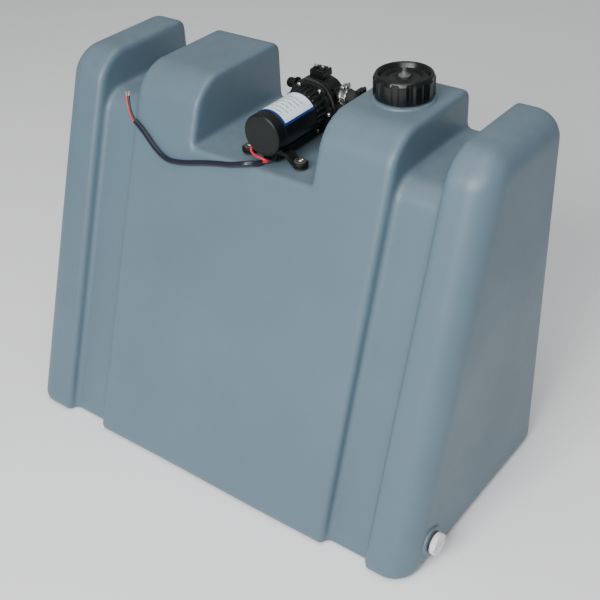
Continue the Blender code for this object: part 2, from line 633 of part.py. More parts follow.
SCREW_ANGLES = [FIRST_SCREW + 360 / HEAD_SCREWS * number for number in range(HEAD_SCREWS)]


def screw_holes(name, low, high):
    """One helper that holds a clearance hole for each head screw."""
    shape = bmesh.new()
    for angle in SCREW_ANGLES:
        x, _, z = around_axis(angle, HEAD_SCREW_CIRCLE)
        place = Matrix.Translation((x, (low + high) / 2, z)) @ TURN_TO["Y"]
        bmesh.ops.create_cone(shape, cap_ends=True, segments=6, depth=high - low,
                              radius1=HEAD_SCREW_RADIUS + TOUCH_GAP,
                              radius2=HEAD_SCREW_RADIUS + TOUCH_GAP, matrix=place)
    return add_object(name, mesh_from(name, shape), None)


def ribbed_outline(radius):
    """A circle with an even row of flat-topped ribs, four points to each rib."""
    outline = []
    for rib in range(RIB_COUNT):
        for share, rise in ((0.0, 0.0), (0.15, RIB_RISE), (0.5, RIB_RISE), (0.65, 0.0)):
            turn = 2 * pi * (rib + share) / RIB_COUNT
            outline.append(((radius + rise) * cos(turn), (radius + rise) * sin(turn)))
    return outline


crankcase = prism("crankcase", ribbed_outline(MOTOR_RADIUS), CRANKCASE_FRONT, CRANKCASE_BACK,
                  PUMP_BLACK, AXIS_AT, "Y")
boolean(crankcase, plain_disc("flange_add", FLANGE_RADIUS, FLANGE_FRONT, CRANKCASE_BACK, AXIS_AT,
                              "Y"), "UNION")
boolean(crankcase, plain_disc("crank_room_cut", CRANKCASE_INSIDE,
                              CRANKCASE_FRONT + CRANKCASE_WALL, CRANKCASE_BACK + GRIP, AXIS_AT,
                              "Y"))
boolean(crankcase, plain_disc("bearing_room_cut", POCKET + CAN_WALL + TOUCH_GAP,
                              CRANKCASE_FRONT - GRIP, CRANKCASE_BACK, AXIS_AT, "Y"))
boolean(crankcase, screw_holes("crankcase_holes_cut", FLANGE_FRONT - GRIP / 4,
                               CRANKCASE_BACK + GRIP / 4))

CAM_BACK = CRANK_MIDDLE + CAM_LENGTH / 2
eccentric_cam = disc("eccentric_cam", CAM_RADIUS, CAM_BACK - CAM_LENGTH, CAM_BACK, STEEL,
                     AXIS_AT, "Y", 12, SHAFT_RADIUS + TOUCH_GAP)
for point in eccentric_cam.data.vertices:
    if sqrt(point.co.x ** 2 + point.co.z ** 2) > CAM_RADIUS / 2:
        point.co.z += CAM_THROW

WOBBLE_FRONT = CAM_BACK + RUNNING_GAP
WOBBLE_AT = (PUMP_X, WOBBLE_FRONT + WOBBLE_HUB_RISE + WOBBLE_THICK / 2, PUMP_Z)
wobble_plate = turned(
    "wobble_plate",
    [(0, WOBBLE_THICK / 2), (WOBBLE_RADIUS, WOBBLE_THICK / 2),
     (WOBBLE_RADIUS, -WOBBLE_THICK / 2), (WOBBLE_HUB, -WOBBLE_THICK / 2),
     (WOBBLE_HUB, -WOBBLE_THICK / 2 - WOBBLE_HUB_RISE), (0, -WOBBLE_THICK / 2 - WOBBLE_HUB_RISE)],
    NYLON, WOBBLE_AT, "Y", 24)
for way, word in ((1, "upper"), (-1, "lower")):
    piston_at = Vector(WOBBLE_AT) + Vector((0, 0, way * PISTON_OFFSET))
    boolean(wobble_plate, plain_disc(f"piston_{word}_add", PISTON_RADIUS, 0,
                                     WOBBLE_THICK / 2 + PISTON_HEIGHT, piston_at, "Y", 12),
            "UNION")

diaphragm = disc("diaphragm", FLANGE_RADIUS, DIAPHRAGM_FRONT, DIAPHRAGM_FRONT + DIAPHRAGM_THICK,
                 RUBBER, AXIS_AT, "Y", 24)
boolean(diaphragm, screw_holes("diaphragm_holes_cut", DIAPHRAGM_FRONT - GRIP / 4,
                               VALVE_PLATE_FRONT + GRIP / 4))

# ---------------------------------------------------------------- valves and head

valve_plate = disc("valve_plate", FLANGE_RADIUS, VALVE_PLATE_FRONT, VALVE_PLATE_BACK, NYLON,
                   AXIS_AT, "Y", 24)
boolean(valve_plate, screw_holes("plate_holes_cut", VALVE_PLATE_FRONT - GRIP / 4,
                                 VALVE_PLATE_BACK + GRIP / 4))
POCKET_DEPTH = VALVE_THICK + VALVE_LIFT + 2 * TOUCH_GAP
for side, way in (("inlet", 1), ("outlet", -1)):
    valve_at = (PUMP_X + way * VALVE_X, 0.0, PUMP_Z)
    boolean(valve_plate, plain_disc(f"{side}_way_cut", VALVE_PORT, VALVE_PLATE_FRONT - GRIP,
                                    VALVE_PLATE_BACK + GRIP, valve_at, "Y", 12))
    seat = VALVE_PLATE_BACK + TOUCH_GAP
    if side == "inlet":
        pocket_floor = VALVE_PLATE_FRONT + POCKET_DEPTH
        boolean(valve_plate, plain_disc("inlet_pocket_cut", VALVE_RADIUS + RUNNING_GAP,
                                        VALVE_PLATE_FRONT - GRIP, pocket_floor, valve_at, "Y",
                                        16))
        seat = pocket_floor - TOUCH_GAP - VALVE_THICK
    disc(f"{side}_valve", VALVE_RADIUS, seat, seat + VALVE_THICK, RUBBER, valve_at, "Y", 16)

pump_head = turned(
    "pump_head",
    [(0, HEAD_BACK), (FLANGE_RADIUS - HEAD_WALL, HEAD_BACK), (FLANGE_RADIUS, HEAD_BACK - HEAD_WALL),
     (FLANGE_RADIUS, HEAD_FRONT), (0, HEAD_FRONT)], PUMP_BLACK, AXIS_AT, "Y", 24)
SIDE_FLAT = FLANGE_RADIUS - HEAD_WALL * 0.45
for word, way in (("outlet", -1), ("inlet", 1)):
    reach = sorted((way * CHAMBER_WALL, way * (CHAMBER_WALL + CHAMBER_WIDTH)))
    boolean(pump_head, block(f"{word}_chamber_cut",
                             (reach[0], HEAD_FRONT - GRIP, -CHAMBER_HALF_HEIGHT),
                             (reach[1], HEAD_BACK - HEAD_WALL, CHAMBER_HALF_HEIGHT), None,
                             AXIS_AT))
    start = CHAMBER_WIDTH / 2
    boolean(pump_head, plain_disc(f"{word}_port_cut", PORT_BORE, start, FLANGE_RADIUS + GRIP,
                                  (PUMP_X, PORT_Y, PORT_Z), "X" if way > 0 else "-X", 16))
    # The flat on each side that the port's flange seals on.
    flat = sorted((way * SIDE_FLAT, way * FLANGE_RADIUS * 2))
    boolean(pump_head, block(f"{word}_flat_cut", (flat[0], HEAD_FRONT - GRIP, -FLANGE_RADIUS),
                             (flat[1], HEAD_BACK + GRIP, FLANGE_RADIUS), None, AXIS_AT))
boolean(pump_head, screw_holes("head_holes_cut", HEAD_FRONT - GRIP,
                               HEAD_FRONT + HEAD_SCREW_GRIP + GRIP / 4))

for number, angle in enumerate(SCREW_ANGLES, 1):
    head_at = around_axis(angle, HEAD_SCREW_CIRCLE)
    top = FLANGE_FRONT - TOUCH_GAP
    turned(f"head_screw_{number}",
           [(0, HEAD_FRONT + HEAD_SCREW_GRIP), (HEAD_SCREW_RADIUS, HEAD_FRONT + HEAD_SCREW_GRIP),
            (HEAD_SCREW_RADIUS, top), (HEAD_SCREW_HEAD, top),
            (HEAD_SCREW_HEAD, top - HEAD_SCREW_RADIUS),
            (HEAD_SCREW_RADIUS, top - HEAD_SCREW_HEAD), (0, top - HEAD_SCREW_HEAD)],
           STEEL, head_at, "Y", 8)


def barb(name, finish, start, shank, facing):
    """A hose barb: a shank in the head's bore, a sealing flange and a ridged tail."""
    tail = start + BARB_FLANGE_THICK
    ridge = HOSE_BORE - TOUCH_GAP
    root = ridge - CLIP_THICK
    bore = PORT_BORE - 2 * CLIP_THICK
    profile = [(bore, tail + BARB_LENGTH), (root, tail + BARB_LENGTH)]
    for share in (0.62, 0.27):
        profile += [(ridge, tail + BARB_LENGTH * share), (root, tail + BARB_LENGTH * share)]
    profile += [(root, tail), (BARB_FLANGE, tail), (BARB_FLANGE, start),
                (PORT_BORE - TOUCH_GAP, start), (PORT_BORE - TOUCH_GAP, start - shank),
                (bore, start - shank)]
    return turned(name, profile, finish, (PUMP_X, PORT_Y, PORT_Z), facing, 12)


BARB_START = SIDE_FLAT + TOUCH_GAP
inlet_barb = barb("inlet_barb", PUMP_BLACK, BARB_START, HEAD_WALL, "X")
outlet_barb = barb("outlet_barb", PUMP_BLACK, BARB_START, HEAD_WALL, "-X")

# ---------------------------------------------------------------- suction line

FITTING_BACK = NOTCH_X[1] - 2 * TOUCH_GAP - BUNG_SEAL_THICK
RIDGE = HOSE_BORE - TOUCH_GAP
FITTING_BORE = FITTING_SHANK - 2 * PICKUP_WALL
PICKUP_X = NOTCH_X[1] + TANK_WALL + PICKUP_FROM_WALL


def from_wall(x):
    """Distance along +X from the tower's notch wall."""
    return x - NOTCH_X[1]


fitting_flange = from_wall(FITTING_BACK)
flange_front = fitting_flange - FITTING_FLANGE_THICK
tank_fitting = turned(
    "tank_fitting",
    [(FITTING_BORE, TANK_WALL + FITTING_REACH), (FITTING_SHANK, TANK_WALL + FITTING_REACH),
     (FITTING_SHANK, fitting_flange), (FITTING_FLANGE, fitting_flange),
     (FITTING_FLANGE, flange_front), (RIDGE - CLIP_THICK, flange_front),
     (RIDGE - CLIP_THICK, flange_front - BARB_LENGTH / 3), (RIDGE, flange_front - BARB_LENGTH / 3),
     (RIDGE - CLIP_THICK, flange_front - BARB_LENGTH), (FITTING_BORE, flange_front - BARB_LENGTH)],
    PUMP_BLACK, FITTING_AT, "X", 16)
fitting_seal = disc("fitting_seal", FITTING_FLANGE, fitting_flange + TOUCH_GAP, -TOUCH_GAP,
                    RUBBER, FITTING_AT, "X", 16, FITTING_SHANK + TOUCH_GAP)

HOSE_START = PUMP_X + BARB_START + BARB_FLANGE_THICK + TOUCH_GAP
HOSE_END = NOTCH_X[1] + flange_front - TOUCH_GAP
HOSE_OUT = HOSE_BORE + HOSE_WALL
suction_hose = disc("suction_hose", HOSE_OUT, 0, HOSE_END - HOSE_START, HOSE_BLACK,
                    (HOSE_START, PORT_Y, PORT_Z), "X", 16, HOSE_BORE)
CLIP_EDGE = HOSE_WALL / 2
for word, place in (("pump", HOSE_START + CLIP_EDGE),
                    ("tank", HOSE_END - CLIP_EDGE - CLIP_WIDTH)):
    clip = disc(f"hose_clip_{word}", HOSE_OUT + TOUCH_GAP + CLIP_THICK, 0, CLIP_WIDTH, STEEL,
                (place, PORT_Y, PORT_Z), "X", 16, HOSE_OUT + TOUCH_GAP)
    housing_z = PORT_Z + HOSE_OUT + TOUCH_GAP + CLIP_THICK / 2
    boolean(clip, block(f"clip_housing_{word}_add",
                        (place + CLIP_THICK, PORT_Y - CLIP_WIDTH / 2, housing_z),
                        (place + CLIP_WIDTH - CLIP_THICK, PORT_Y + CLIP_WIDTH / 2,
                         housing_z + CLIP_WIDTH / 2), None), "UNION")

ELBOW_BORE = FITTING_SHANK + TOUCH_GAP
ELBOW_START = TANK_WALL + TOUCH_GAP
ELBOW_END = TANK_WALL + PICKUP_FROM_WALL + PICKUP_RADIUS
pickup_elbow = disc("pickup_elbow", ELBOW_RADIUS, ELBOW_START, ELBOW_END, PUMP_BLACK, FITTING_AT,
                    "X", 20)
ELBOW_AT = (PICKUP_X, PORT_Y, PORT_Z)
boolean(pickup_elbow, plain_disc("elbow_leg_add", PICKUP_RADIUS + 2 * PICKUP_WALL, -ELBOW_DROP, 0,
                                 ELBOW_AT, steps=20), "UNION")
boolean(pickup_elbow, plain_disc("elbow_shank_cut", ELBOW_BORE, 0,
                                 TANK_WALL + FITTING_REACH + TOUCH_GAP, FITTING_AT, "X", 20))
ELBOW_SEAT = FITTING_SHANK + TOUCH_GAP
boolean(pickup_elbow, plain_disc("elbow_tube_cut", PICKUP_RADIUS + TOUCH_GAP, -ELBOW_DROP - GRIP,
                                 -ELBOW_SEAT, ELBOW_AT, steps=20))
boolean(pickup_elbow, plain_disc("elbow_way_cut", FITTING_BORE, -ELBOW_DROP, 0, ELBOW_AT,
                                 steps=12))

PICKUP_TOP = PORT_Z - ELBOW_SEAT - TOUCH_GAP
STRAINER_HEIGHT = 3 * PICKUP_RADIUS
PICKUP_BOTTOM = TANK_WALL + PICKUP_CLEARANCE + STRAINER_HEIGHT / 2
pickup_tube = disc("pickup_tube", PICKUP_RADIUS, PICKUP_BOTTOM, PICKUP_TOP, NYLON,
                   (PICKUP_X, PORT_Y, 0), steps=16, bore=PICKUP_RADIUS - PICKUP_WALL)
STRAINER_FOOT = TANK_WALL + PICKUP_CLEARANCE
STRAINER_BORE = PICKUP_RADIUS + TOUCH_GAP
pickup_strainer = turned(
    "pickup_strainer",
    [(STRAINER_BORE, STRAINER_FOOT + STRAINER_HEIGHT),
     (STRAINER_BORE + PICKUP_WALL, STRAINER_FOOT + STRAINER_HEIGHT),
     (STRAINER_BORE + PICKUP_WALL, STRAINER_FOOT + STRAINER_HEIGHT * 0.6),
     (PICKUP_RADIUS * 2, STRAINER_FOOT + STRAINER_HEIGHT * 0.4),
     (PICKUP_RADIUS * 2, STRAINER_FOOT), (0, STRAINER_FOOT),
     (0, STRAINER_FOOT + PICKUP_WALL * 2), (STRAINER_BORE, STRAINER_FOOT + PICKUP_WALL * 2)],
    PUMP_BLACK, (PICKUP_X, PORT_Y, 0), steps=16)
for number in range(3):
    turn = Matrix.Rotation(number * pi / 3, 4, "Z")
    slot = block(f"strainer_slot_{number}_cut",
                 (-3 * PICKUP_RADIUS, -PICKUP_WALL, STRAINER_FOOT + PICKUP_WALL * 2.5),
                 (3 * PICKUP_RADIUS, PICKUP_WALL, STRAINER_FOOT + STRAINER_HEIGHT * 0.35), None,
                 (PICKUP_X, PORT_Y, 0))
    slot.data.transform(turn)
    boolean(pickup_strainer, slot)

# ---------------------------------------------------------------- pressure switch

HEAD_TOP = PUMP_Z + FLANGE_RADIUS
SWITCH_FLAT = HEAD_TOP - HEAD_WALL / 2
SWITCH_AT = (PUMP_X, HEAD_FRONT + HEAD_WALL + SWITCH_DEPTH / 2, SWITCH_FLAT)
boolean(pump_head, block("switch_flat_cut",
                         (-SWITCH_WIDTH / 2 - SWITCH_WALL, -SWITCH_DEPTH / 2 - SWITCH_WALL, 0),
                         (SWITCH_WIDTH / 2 + SWITCH_WALL, SWITCH_DEPTH / 2 + SWITCH_WALL,
                          HEAD_WALL * 2), None, SWITCH_AT))
boolean(pump_head, plain_disc("switch_way_cut", PLUNGER_RADIUS, -FLANGE_RADIUS / 2, HEAD_WALL,
                              (PUMP_X - CHAMBER_WALL - CHAMBER_WIDTH / 4, SWITCH_AT[1],
                               SWITCH_FLAT), steps=12))
PLUNGER_AT = (PUMP_X - CHAMBER_WALL - CHAMBER_WIDTH / 4, SWITCH_AT[1], SWITCH_FLAT)
SWITCH_TOP = SWITCH_HEIGHT + TOUCH_GAP
switch_body = block("switch_body", (-SWITCH_WIDTH / 2, -SWITCH_DEPTH / 2, TOUCH_GAP),
                    (SWITCH_WIDTH / 2, SWITCH_DEPTH / 2, SWITCH_TOP), PUMP_BLACK, SWITCH_AT)
boolean(switch_body, plain_disc("switch_room_cut", 2.4 * PLUNGER_RADIUS,
                                TOUCH_GAP + SWITCH_WALL, SWITCH_TOP + GRIP, PLUNGER_AT,
                                steps=16))
boolean(switch_body, plain_disc("switch_bore_cut", PLUNGER_RADIUS + TOUCH_GAP, -GRIP,
                                SWITCH_TOP, PLUNGER_AT, steps=12))
COLLAR_LOW = TOUCH_GAP + SWITCH_WALL + RUNNING_GAP / 2
SPRING_WIRE = PLUNGER_RADIUS / 8
SWITCH_CAP_UNDER = SWITCH_TOP + TOUCH_GAP
switch_plunger = turned(
    "switch_plunger",
    [(0, SWITCH_CAP_UNDER - 2 * PLUNGER_TRAVEL),
     (PLUNGER_RADIUS / 2, SWITCH_CAP_UNDER - 2 * PLUNGER_TRAVEL),
     (PLUNGER_RADIUS / 2, COLLAR_LOW + SWITCH_WALL / 2),
     (2 * PLUNGER_RADIUS, COLLAR_LOW + SWITCH_WALL / 2), (2 * PLUNGER_RADIUS, COLLAR_LOW),
     (PLUNGER_RADIUS, COLLAR_LOW), (PLUNGER_RADIUS, 0), (0, 0)],
    NYLON, PLUNGER_AT, steps=12)
switch_cap = block("switch_cap", (-SWITCH_WIDTH / 2, -SWITCH_DEPTH / 2, SWITCH_CAP_UNDER),
                   (SWITCH_WIDTH / 2, SWITCH_DEPTH / 2, SWITCH_CAP_UNDER + SWITCH_WALL),
                   PUMP_BLACK, SWITCH_AT)
for word, way in (("left", -1), ("right", 1)):
    tab_x = way * SWITCH_WIDTH / 4
    boolean(switch_cap, block(
        f"terminal_{word}_add", (tab_x - SWITCH_WALL * 1.5, -SWITCH_DEPTH / 3, SWITCH_CAP_UNDER),
        (tab_x + SWITCH_WALL * 1.5, 0, SWITCH_CAP_UNDER + TERMINAL_HEIGHT), None, SWITCH_AT),
        "UNION")


def helix(radius, low, high, turns, steps):
    """Points along a coil that climbs from low to high."""
    for step in range(steps + 1):
        turn = 2 * pi * turns * step / steps
        yield (radius * cos(turn), radius * sin(turn), low + (high - low) * step / steps)


def wire(name, points, radius, finish, origin=(0, 0, 0), sides=2):
    """A round wire along a row of points, with flat ends."""
    curve = bpy.data.curves.new(name, "CURVE")
    curve.dimensions = "3D"
    curve.bevel_depth = radius
    curve.bevel_resolution = sides
    curve.use_fill_caps = True
    line = curve.splines.new("POLY")
    points = list(points)
    line.points.add(len(points) - 1)
    for point, place in zip(line.points, points):
        point.co = (*place, 1.0)
    return add_object(name, curve, finish, origin)


switch_spring = wire(
    "switch_spring",
    helix(1.4 * PLUNGER_RADIUS, COLLAR_LOW + SWITCH_WALL / 2 + TOUCH_GAP + SPRING_WIRE,
          SWITCH_CAP_UNDER - TOUCH_GAP - SPRING_WIRE, 3, 27),
    SPRING_WIRE, STEEL, PLUNGER_AT, 0)

# ---------------------------------------------------------------- feet

FOOT_Y = (PUMP_FRONT + FOOT_SETBACK, PUMP_FRONT + FOOT_SETBACK + FOOT_SPACING_Y)
FOOT_AT = [(PUMP_X + way * FOOT_SPACING_X / 2, y, NOTCH_FLOOR)
           for y in FOOT_Y for way in (-1, 1)]
RING_LOW = (GROMMET_HEIGHT - FOOT_THICK) / 2
RING_HIGH = RING_LOW + FOOT_THICK
SADDLE_HALF = FOOT_SPACING_X / 4
CRADLE_RADIUS = FLANGE_RADIUS + TOUCH_GAP

STAGGER = TOUCH_GAP / 2        # keeps joined faces out of one plane

pump_base = block("pump_base", (-SADDLE_HALF, -FOOT_RADIUS, RING_LOW + 2 * STAGGER),
                  (SADDLE_HALF, FOOT_SPACING_Y + FOOT_RADIUS, AXIS_RISE - MOTOR_RADIUS * 0.7),
                  PUMP_BLACK, (PUMP_X, FOOT_Y[0], NOTCH_FLOOR))
for number, y in enumerate(FOOT_Y, 1):
    arm = prism(f"arm_{number}_add",
                [(-FOOT_SPACING_X / 2, RING_LOW + STAGGER),
                 (FOOT_SPACING_X / 2, RING_LOW + STAGGER),
                 (FOOT_SPACING_X / 2, RING_HIGH - STAGGER),
                 (FOOT_SPACING_X / 2 - FOOT_RADIUS, RING_HIGH - STAGGER),
                 (SADDLE_HALF, AXIS_RISE - MOTOR_RADIUS * 0.75),
                 (-SADDLE_HALF, AXIS_RISE - MOTOR_RADIUS * 0.75),
                 (FOOT_RADIUS - FOOT_SPACING_X / 2, RING_HIGH - STAGGER),
                 (-FOOT_SPACING_X / 2, RING_HIGH - STAGGER)],
                -FOOT_RADIUS * 0.7, FOOT_RADIUS * 0.7, None, (PUMP_X, y, NOTCH_FLOOR))
    arm.data.transform(Matrix.Rotation(pi / 2, 4, "X"))
    boolean(pump_base, arm, "UNION")
for number, place in enumerate(FOOT_AT, 1):
    boolean(pump_base, plain_disc(f"foot_{number}_add", FOOT_RADIUS, RING_LOW, RING_HIGH, place,
                                  steps=16), "UNION")
    boolean(pump_base, plain_disc(f"foot_room_{number}_cut", GROMMET_RADIUS + RUNNING_GAP,
                                  RING_HIGH - STAGGER / 2, AXIS_RISE, place, steps=20))
    boolean(pump_base, plain_disc(f"foot_hole_{number}_cut", GROMMET_WAIST + TOUCH_GAP, -GRIP,
                                  RING_HIGH + GRIP, place, steps=12))
boolean(pump_base, plain_disc("motor_room_cut", MOTOR_RADIUS + TOUCH_GAP, PUMP_FRONT - GRIP,
                              CRANKCASE_FRONT - TOUCH_GAP, AXIS_AT, "Y"))
boolean(pump_base, plain_disc("crankcase_room_cut", MOTOR_RADIUS + RIB_RISE + TOUCH_GAP,
                              CRANKCASE_FRONT - 2 * TOUCH_GAP, FLANGE_FRONT - TOUCH_GAP * 2,
                              AXIS_AT, "Y"))
boolean(pump_base, plain_disc("flange_room_cut", CRADLE_RADIUS,
                              FLANGE_FRONT - 2 * HEAD_SCREW_HEAD, HEAD_BACK, AXIS_AT, "Y"))

for number, place in enumerate(FOOT_AT, 1):
    low = TOUCH_GAP
    turned(f"foot_grommet_{number}",
           [(GROMMET_BORE, GROMMET_HEIGHT), (GROMMET_RADIUS, GROMMET_HEIGHT),
            (GROMMET_RADIUS, RING_HIGH + TOUCH_GAP), (GROMMET_WAIST, RING_HIGH + TOUCH_GAP),
            (GROMMET_WAIST, RING_LOW - TOUCH_GAP), (GROMMET_RADIUS, RING_LOW - TOUCH_GAP),
            (GROMMET_RADIUS, low), (GROMMET_BORE, low)], RUBBER, place, steps=12)
    head_low = GROMMET_HEIGHT + TOUCH_GAP
    head_high = head_low + FOOT_SCREW_HEAD / 2
    turned(f"foot_screw_{number}",
           [(0, head_high), (FOOT_SCREW_HEAD * 0.7, head_high), (FOOT_SCREW_HEAD, head_low),
            (FOOT_SCREW_RADIUS, head_low), (FOOT_SCREW_RADIUS, head_low - FOOT_SCREW_LENGTH),
            (0, head_low - FOOT_SCREW_LENGTH)], STEEL, place, steps=8)
    boolean(tank_shell, plain_disc(f"screw_boss_{number}_add", BOSS_RADIUS,
                                   -BOSS_DEPTH, -TANK_WALL / 2, place, steps=12), "UNION")
    boolean(tank_shell, plain_disc(f"screw_hole_{number}_cut", FOOT_SCREW_RADIUS + TOUCH_GAP,
                                   -BOSS_DEPTH + TANK_WALL / 2, GRIP, place, steps=12))

weld(tank_shell)

# ---------------------------------------------------------------- supply cable

# Route of the sheath, from under the motor's front, over the notch floor's front edge, left
# along the sloping front of the left tower and up it. Each point is (x, height above the
# notch floor, distance off the sloping front).
SHEATH_ROUTE = [
    (0.0160, 0.0070, -0.0100), (0.0130, 0.0055, -0.0050), (0.0085, 0.0048, 0.0005),
    (0.0020, 0.0030, 0.0040), (-0.0080, 0.0000, 0.0044), (-0.0220, -0.0036, 0.0040),
    (-0.0416, -0.0070, 0.0040), (-0.0647, -0.0118, 0.0040), (-0.0820, -0.0160, 0.0040),
    (-0.0962, -0.0188, 0.0040), (-0.1080, -0.0204, 0.0040), (-0.1180, -0.0203, 0.0040),
    (-0.1303, -0.0167, 0.0040), (-0.1454, -0.0083, 0.0040), (-0.1560, -0.0010, 0.0040),
    (-0.1629, 0.0034, 0.0040), (-0.1710, 0.0080, 0.0040), (-0.1783, 0.0120, 0.0042),
]
CORE_ROUTE = [(-0.1793, 0.0127, 0.0042), (-0.1830, 0.0158, 0.0044), (-0.1865, 0.0199, 0.0044),
              (-0.1900, 0.0248, 0.0044), (-0.1927, 0.0306, 0.0044), (-0.1949, 0.0369, 0.0042),
              (-0.1969, 0.0434, 0.0042)]


OFF_SLOPE = Vector((0, -1, SLOPE)).normalized()


def on_slope(route):
    """Places in space of a route's points, which are given against the sloping front."""
    for x, rise, off in route:
        height = NOTCH_FLOOR + rise
        yield Vector((x, front_at(height), height)) + off * OFF_SLOPE


def beside(points, aside):
    """The same points moved sideways, staying as far off the sloping front."""
    for before, point, after in zip(points[:1] + points, points, points[1:] + points[-1:]):
        yield point + aside * OFF_SLOPE.cross(after - before).normalized()


def smooth_through(points, spacing):
    """Evenly spaced points on a smooth curve through the given ones."""
    points = list(points)
    padded = [2 * points[0] - points[1]] + points + [2 * points[-1] - points[-2]]
    fine = []
    for before, start, end, after in zip(padded, padded[1:], padded[2:], padded[3:]):
        for step in range(16):
            share = step / 16
            fine.append(0.5 * (2 * start + (end - before) * share
                               + (2 * before - 5 * start + 4 * end - after) * share ** 2
                               + (3 * start - before - 3 * end + after) * share ** 3))
    fine.append(points[-1])
    lengths = [0.0]
    for start, end in zip(fine, fine[1:]):
        lengths.append(lengths[-1] + (end - start).length)
    count = max(2, round(lengths[-1] / spacing))
    even, index = [], 0
    for number in range(count + 1):
        target = lengths[-1] * number / count
        while index < len(fine) - 2 and lengths[index + 1] < target:
            index += 1
        share = (target - lengths[index]) / (lengths[index + 1] - lengths[index])
        even.append(fine[index].lerp(fine[index + 1], min(share, 1.0)))
    return even


cable_sheath = wire("cable_sheath", smooth_through(on_slope(SHEATH_ROUTE), 4 * SHEATH_RADIUS),
                    SHEATH_RADIUS, SHEATH_BLACK, sides=2)
for word, aside, insulation in (("red", 1, CORE_RED), ("black", -1, CORE_BLACK)):
    shift = aside * (CORE_RADIUS + TOUCH_GAP)
    middle = smooth_through(on_slope(CORE_ROUTE), 4 * CORE_RADIUS)
    wire(f"core_{word}", beside(middle, shift), CORE_RADIUS, insulation)

# The red lead leaves the end cap low on its left and turns under it into the sheath.
LEAD_TURN = radians(225)
LEAD_EXIT = Vector((PUMP_X + (MOTOR_RADIUS + TOUCH_GAP) * cos(LEAD_TURN), PUMP_FRONT + 0.0050,
                    PUMP_Z + (MOTOR_RADIUS + TOUCH_GAP) * sin(LEAD_TURN)))
SHEATH_START = next(on_slope(SHEATH_ROUTE))
LEAD_ROUTE = [(-0.0022, -0.0006, -0.0036), (-0.0015, -0.0018, -0.0078),
              (0.0034, -0.0034, -0.0102), (0.0110, -0.0042, -0.0112),
              (0.0185, -0.0030, -0.0132), (0.0205, 0.0012, -0.0166)]
lead_points = [LEAD_EXIT] + [LEAD_EXIT + Vector(step) for step in LEAD_ROUTE]
first, second = list(on_slope(SHEATH_ROUTE))[:2]
back_along = (first - second).normalized()
lead_points += [SHEATH_START + back_along * 2 * CORE_RADIUS]
wire("lead_red", smooth_through(lead_points, 4 * CORE_RADIUS), CORE_RADIUS, CORE_RED)
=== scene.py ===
# %% [markdown]
# # An upright water tank with its own pump
#
# The object is a blue-grey moulded tank that leans back at the front, with two strap grooves, a
# screw cap with a breather, a drain bung and a 12 volt diaphragm pump standing in a notch.
# Each step below says what a piece is, then makes it. Everything is in metres, +Z up, and
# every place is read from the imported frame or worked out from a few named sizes.

# %% Load the frame
import json
from math import cos, pi, radians, sin

import bmesh
import bpy
import numpy as np
from mathutils import Matrix, Vector


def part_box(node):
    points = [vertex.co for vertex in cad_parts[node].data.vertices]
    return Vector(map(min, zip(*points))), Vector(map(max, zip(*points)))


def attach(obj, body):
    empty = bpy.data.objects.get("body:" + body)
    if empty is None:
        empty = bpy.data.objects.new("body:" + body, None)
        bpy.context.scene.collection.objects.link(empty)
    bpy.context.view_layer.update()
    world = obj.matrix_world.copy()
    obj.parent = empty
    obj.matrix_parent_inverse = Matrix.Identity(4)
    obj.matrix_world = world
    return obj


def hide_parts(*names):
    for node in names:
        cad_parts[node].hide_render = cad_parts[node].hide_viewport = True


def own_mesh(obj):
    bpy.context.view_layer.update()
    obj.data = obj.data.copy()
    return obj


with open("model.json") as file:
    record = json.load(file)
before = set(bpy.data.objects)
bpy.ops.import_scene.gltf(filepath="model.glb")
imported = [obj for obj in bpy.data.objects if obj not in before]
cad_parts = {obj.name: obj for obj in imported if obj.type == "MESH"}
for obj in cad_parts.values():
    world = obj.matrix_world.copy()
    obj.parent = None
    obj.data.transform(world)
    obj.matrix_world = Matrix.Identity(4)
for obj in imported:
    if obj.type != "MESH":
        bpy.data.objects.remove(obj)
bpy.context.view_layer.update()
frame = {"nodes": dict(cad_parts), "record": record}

# %% [markdown]
# ## Camera
# The camera stands to the right of the front and looks down on the tank, rolled by a few
# degrees as a hand-held camera is. A long-ish lens keeps the upright edges nearly parallel.
# A camera looks along its own -Z, so its matrix is built from a right, an up and a back arrow.

# %% Camera
CAMERA_PLACE = Vector((0.7381, -0.8517, 0.9816))
CAMERA_YAW, CAMERA_PITCH, CAMERA_ROLL = radians(38.656), radians(-34.898), radians(-3.009)
CAMERA_LENS = 63.15
CAMERA_NEAR = 0.05


def add_camera():
    """Ahead is yaw and pitch as a unit arrow; right is level; roll turns right towards up."""
    ahead = Vector((-sin(CAMERA_YAW) * cos(CAMERA_PITCH), cos(CAMERA_YAW) * cos(CAMERA_PITCH),
                    sin(CAMERA_PITCH)))
    right = Vector((cos(CAMERA_YAW), sin(CAMERA_YAW), 0))
    up = right.cross(ahead)
    rolled_right = right * cos(CAMERA_ROLL) + up * sin(CAMERA_ROLL)
    rolled_up = up * cos(CAMERA_ROLL) - right * sin(CAMERA_ROLL)
    turn = Matrix((rolled_right, rolled_up, -ahead)).transposed().to_4x4()
    camera = bpy.data.objects.new("camera", bpy.data.cameras.new("camera"))
    camera.data.lens = CAMERA_LENS
    camera.data.clip_start = CAMERA_NEAR
    camera.matrix_world = Matrix.Translation(CAMERA_PLACE) @ turn
    bpy.context.scene.collection.objects.link(camera)
    bpy.context.scene.camera = camera


add_camera()

# %% [markdown]
# ## Where things are
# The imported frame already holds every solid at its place. A box round a solid gives its
# centre and its ends, so the pump's axis, the neck and the drain need no numbers of their own.

# %% Places read from the frame


def middle(node):
    """The centre of a solid's box, as an array."""
    low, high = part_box(node)
    return (np.array(low) + np.array(high)) / 2


def span(node, axis):
    """The lowest and highest value of a solid along axis 0, 1 or 2."""
    low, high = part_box(node)
    return low[axis], high[axis]


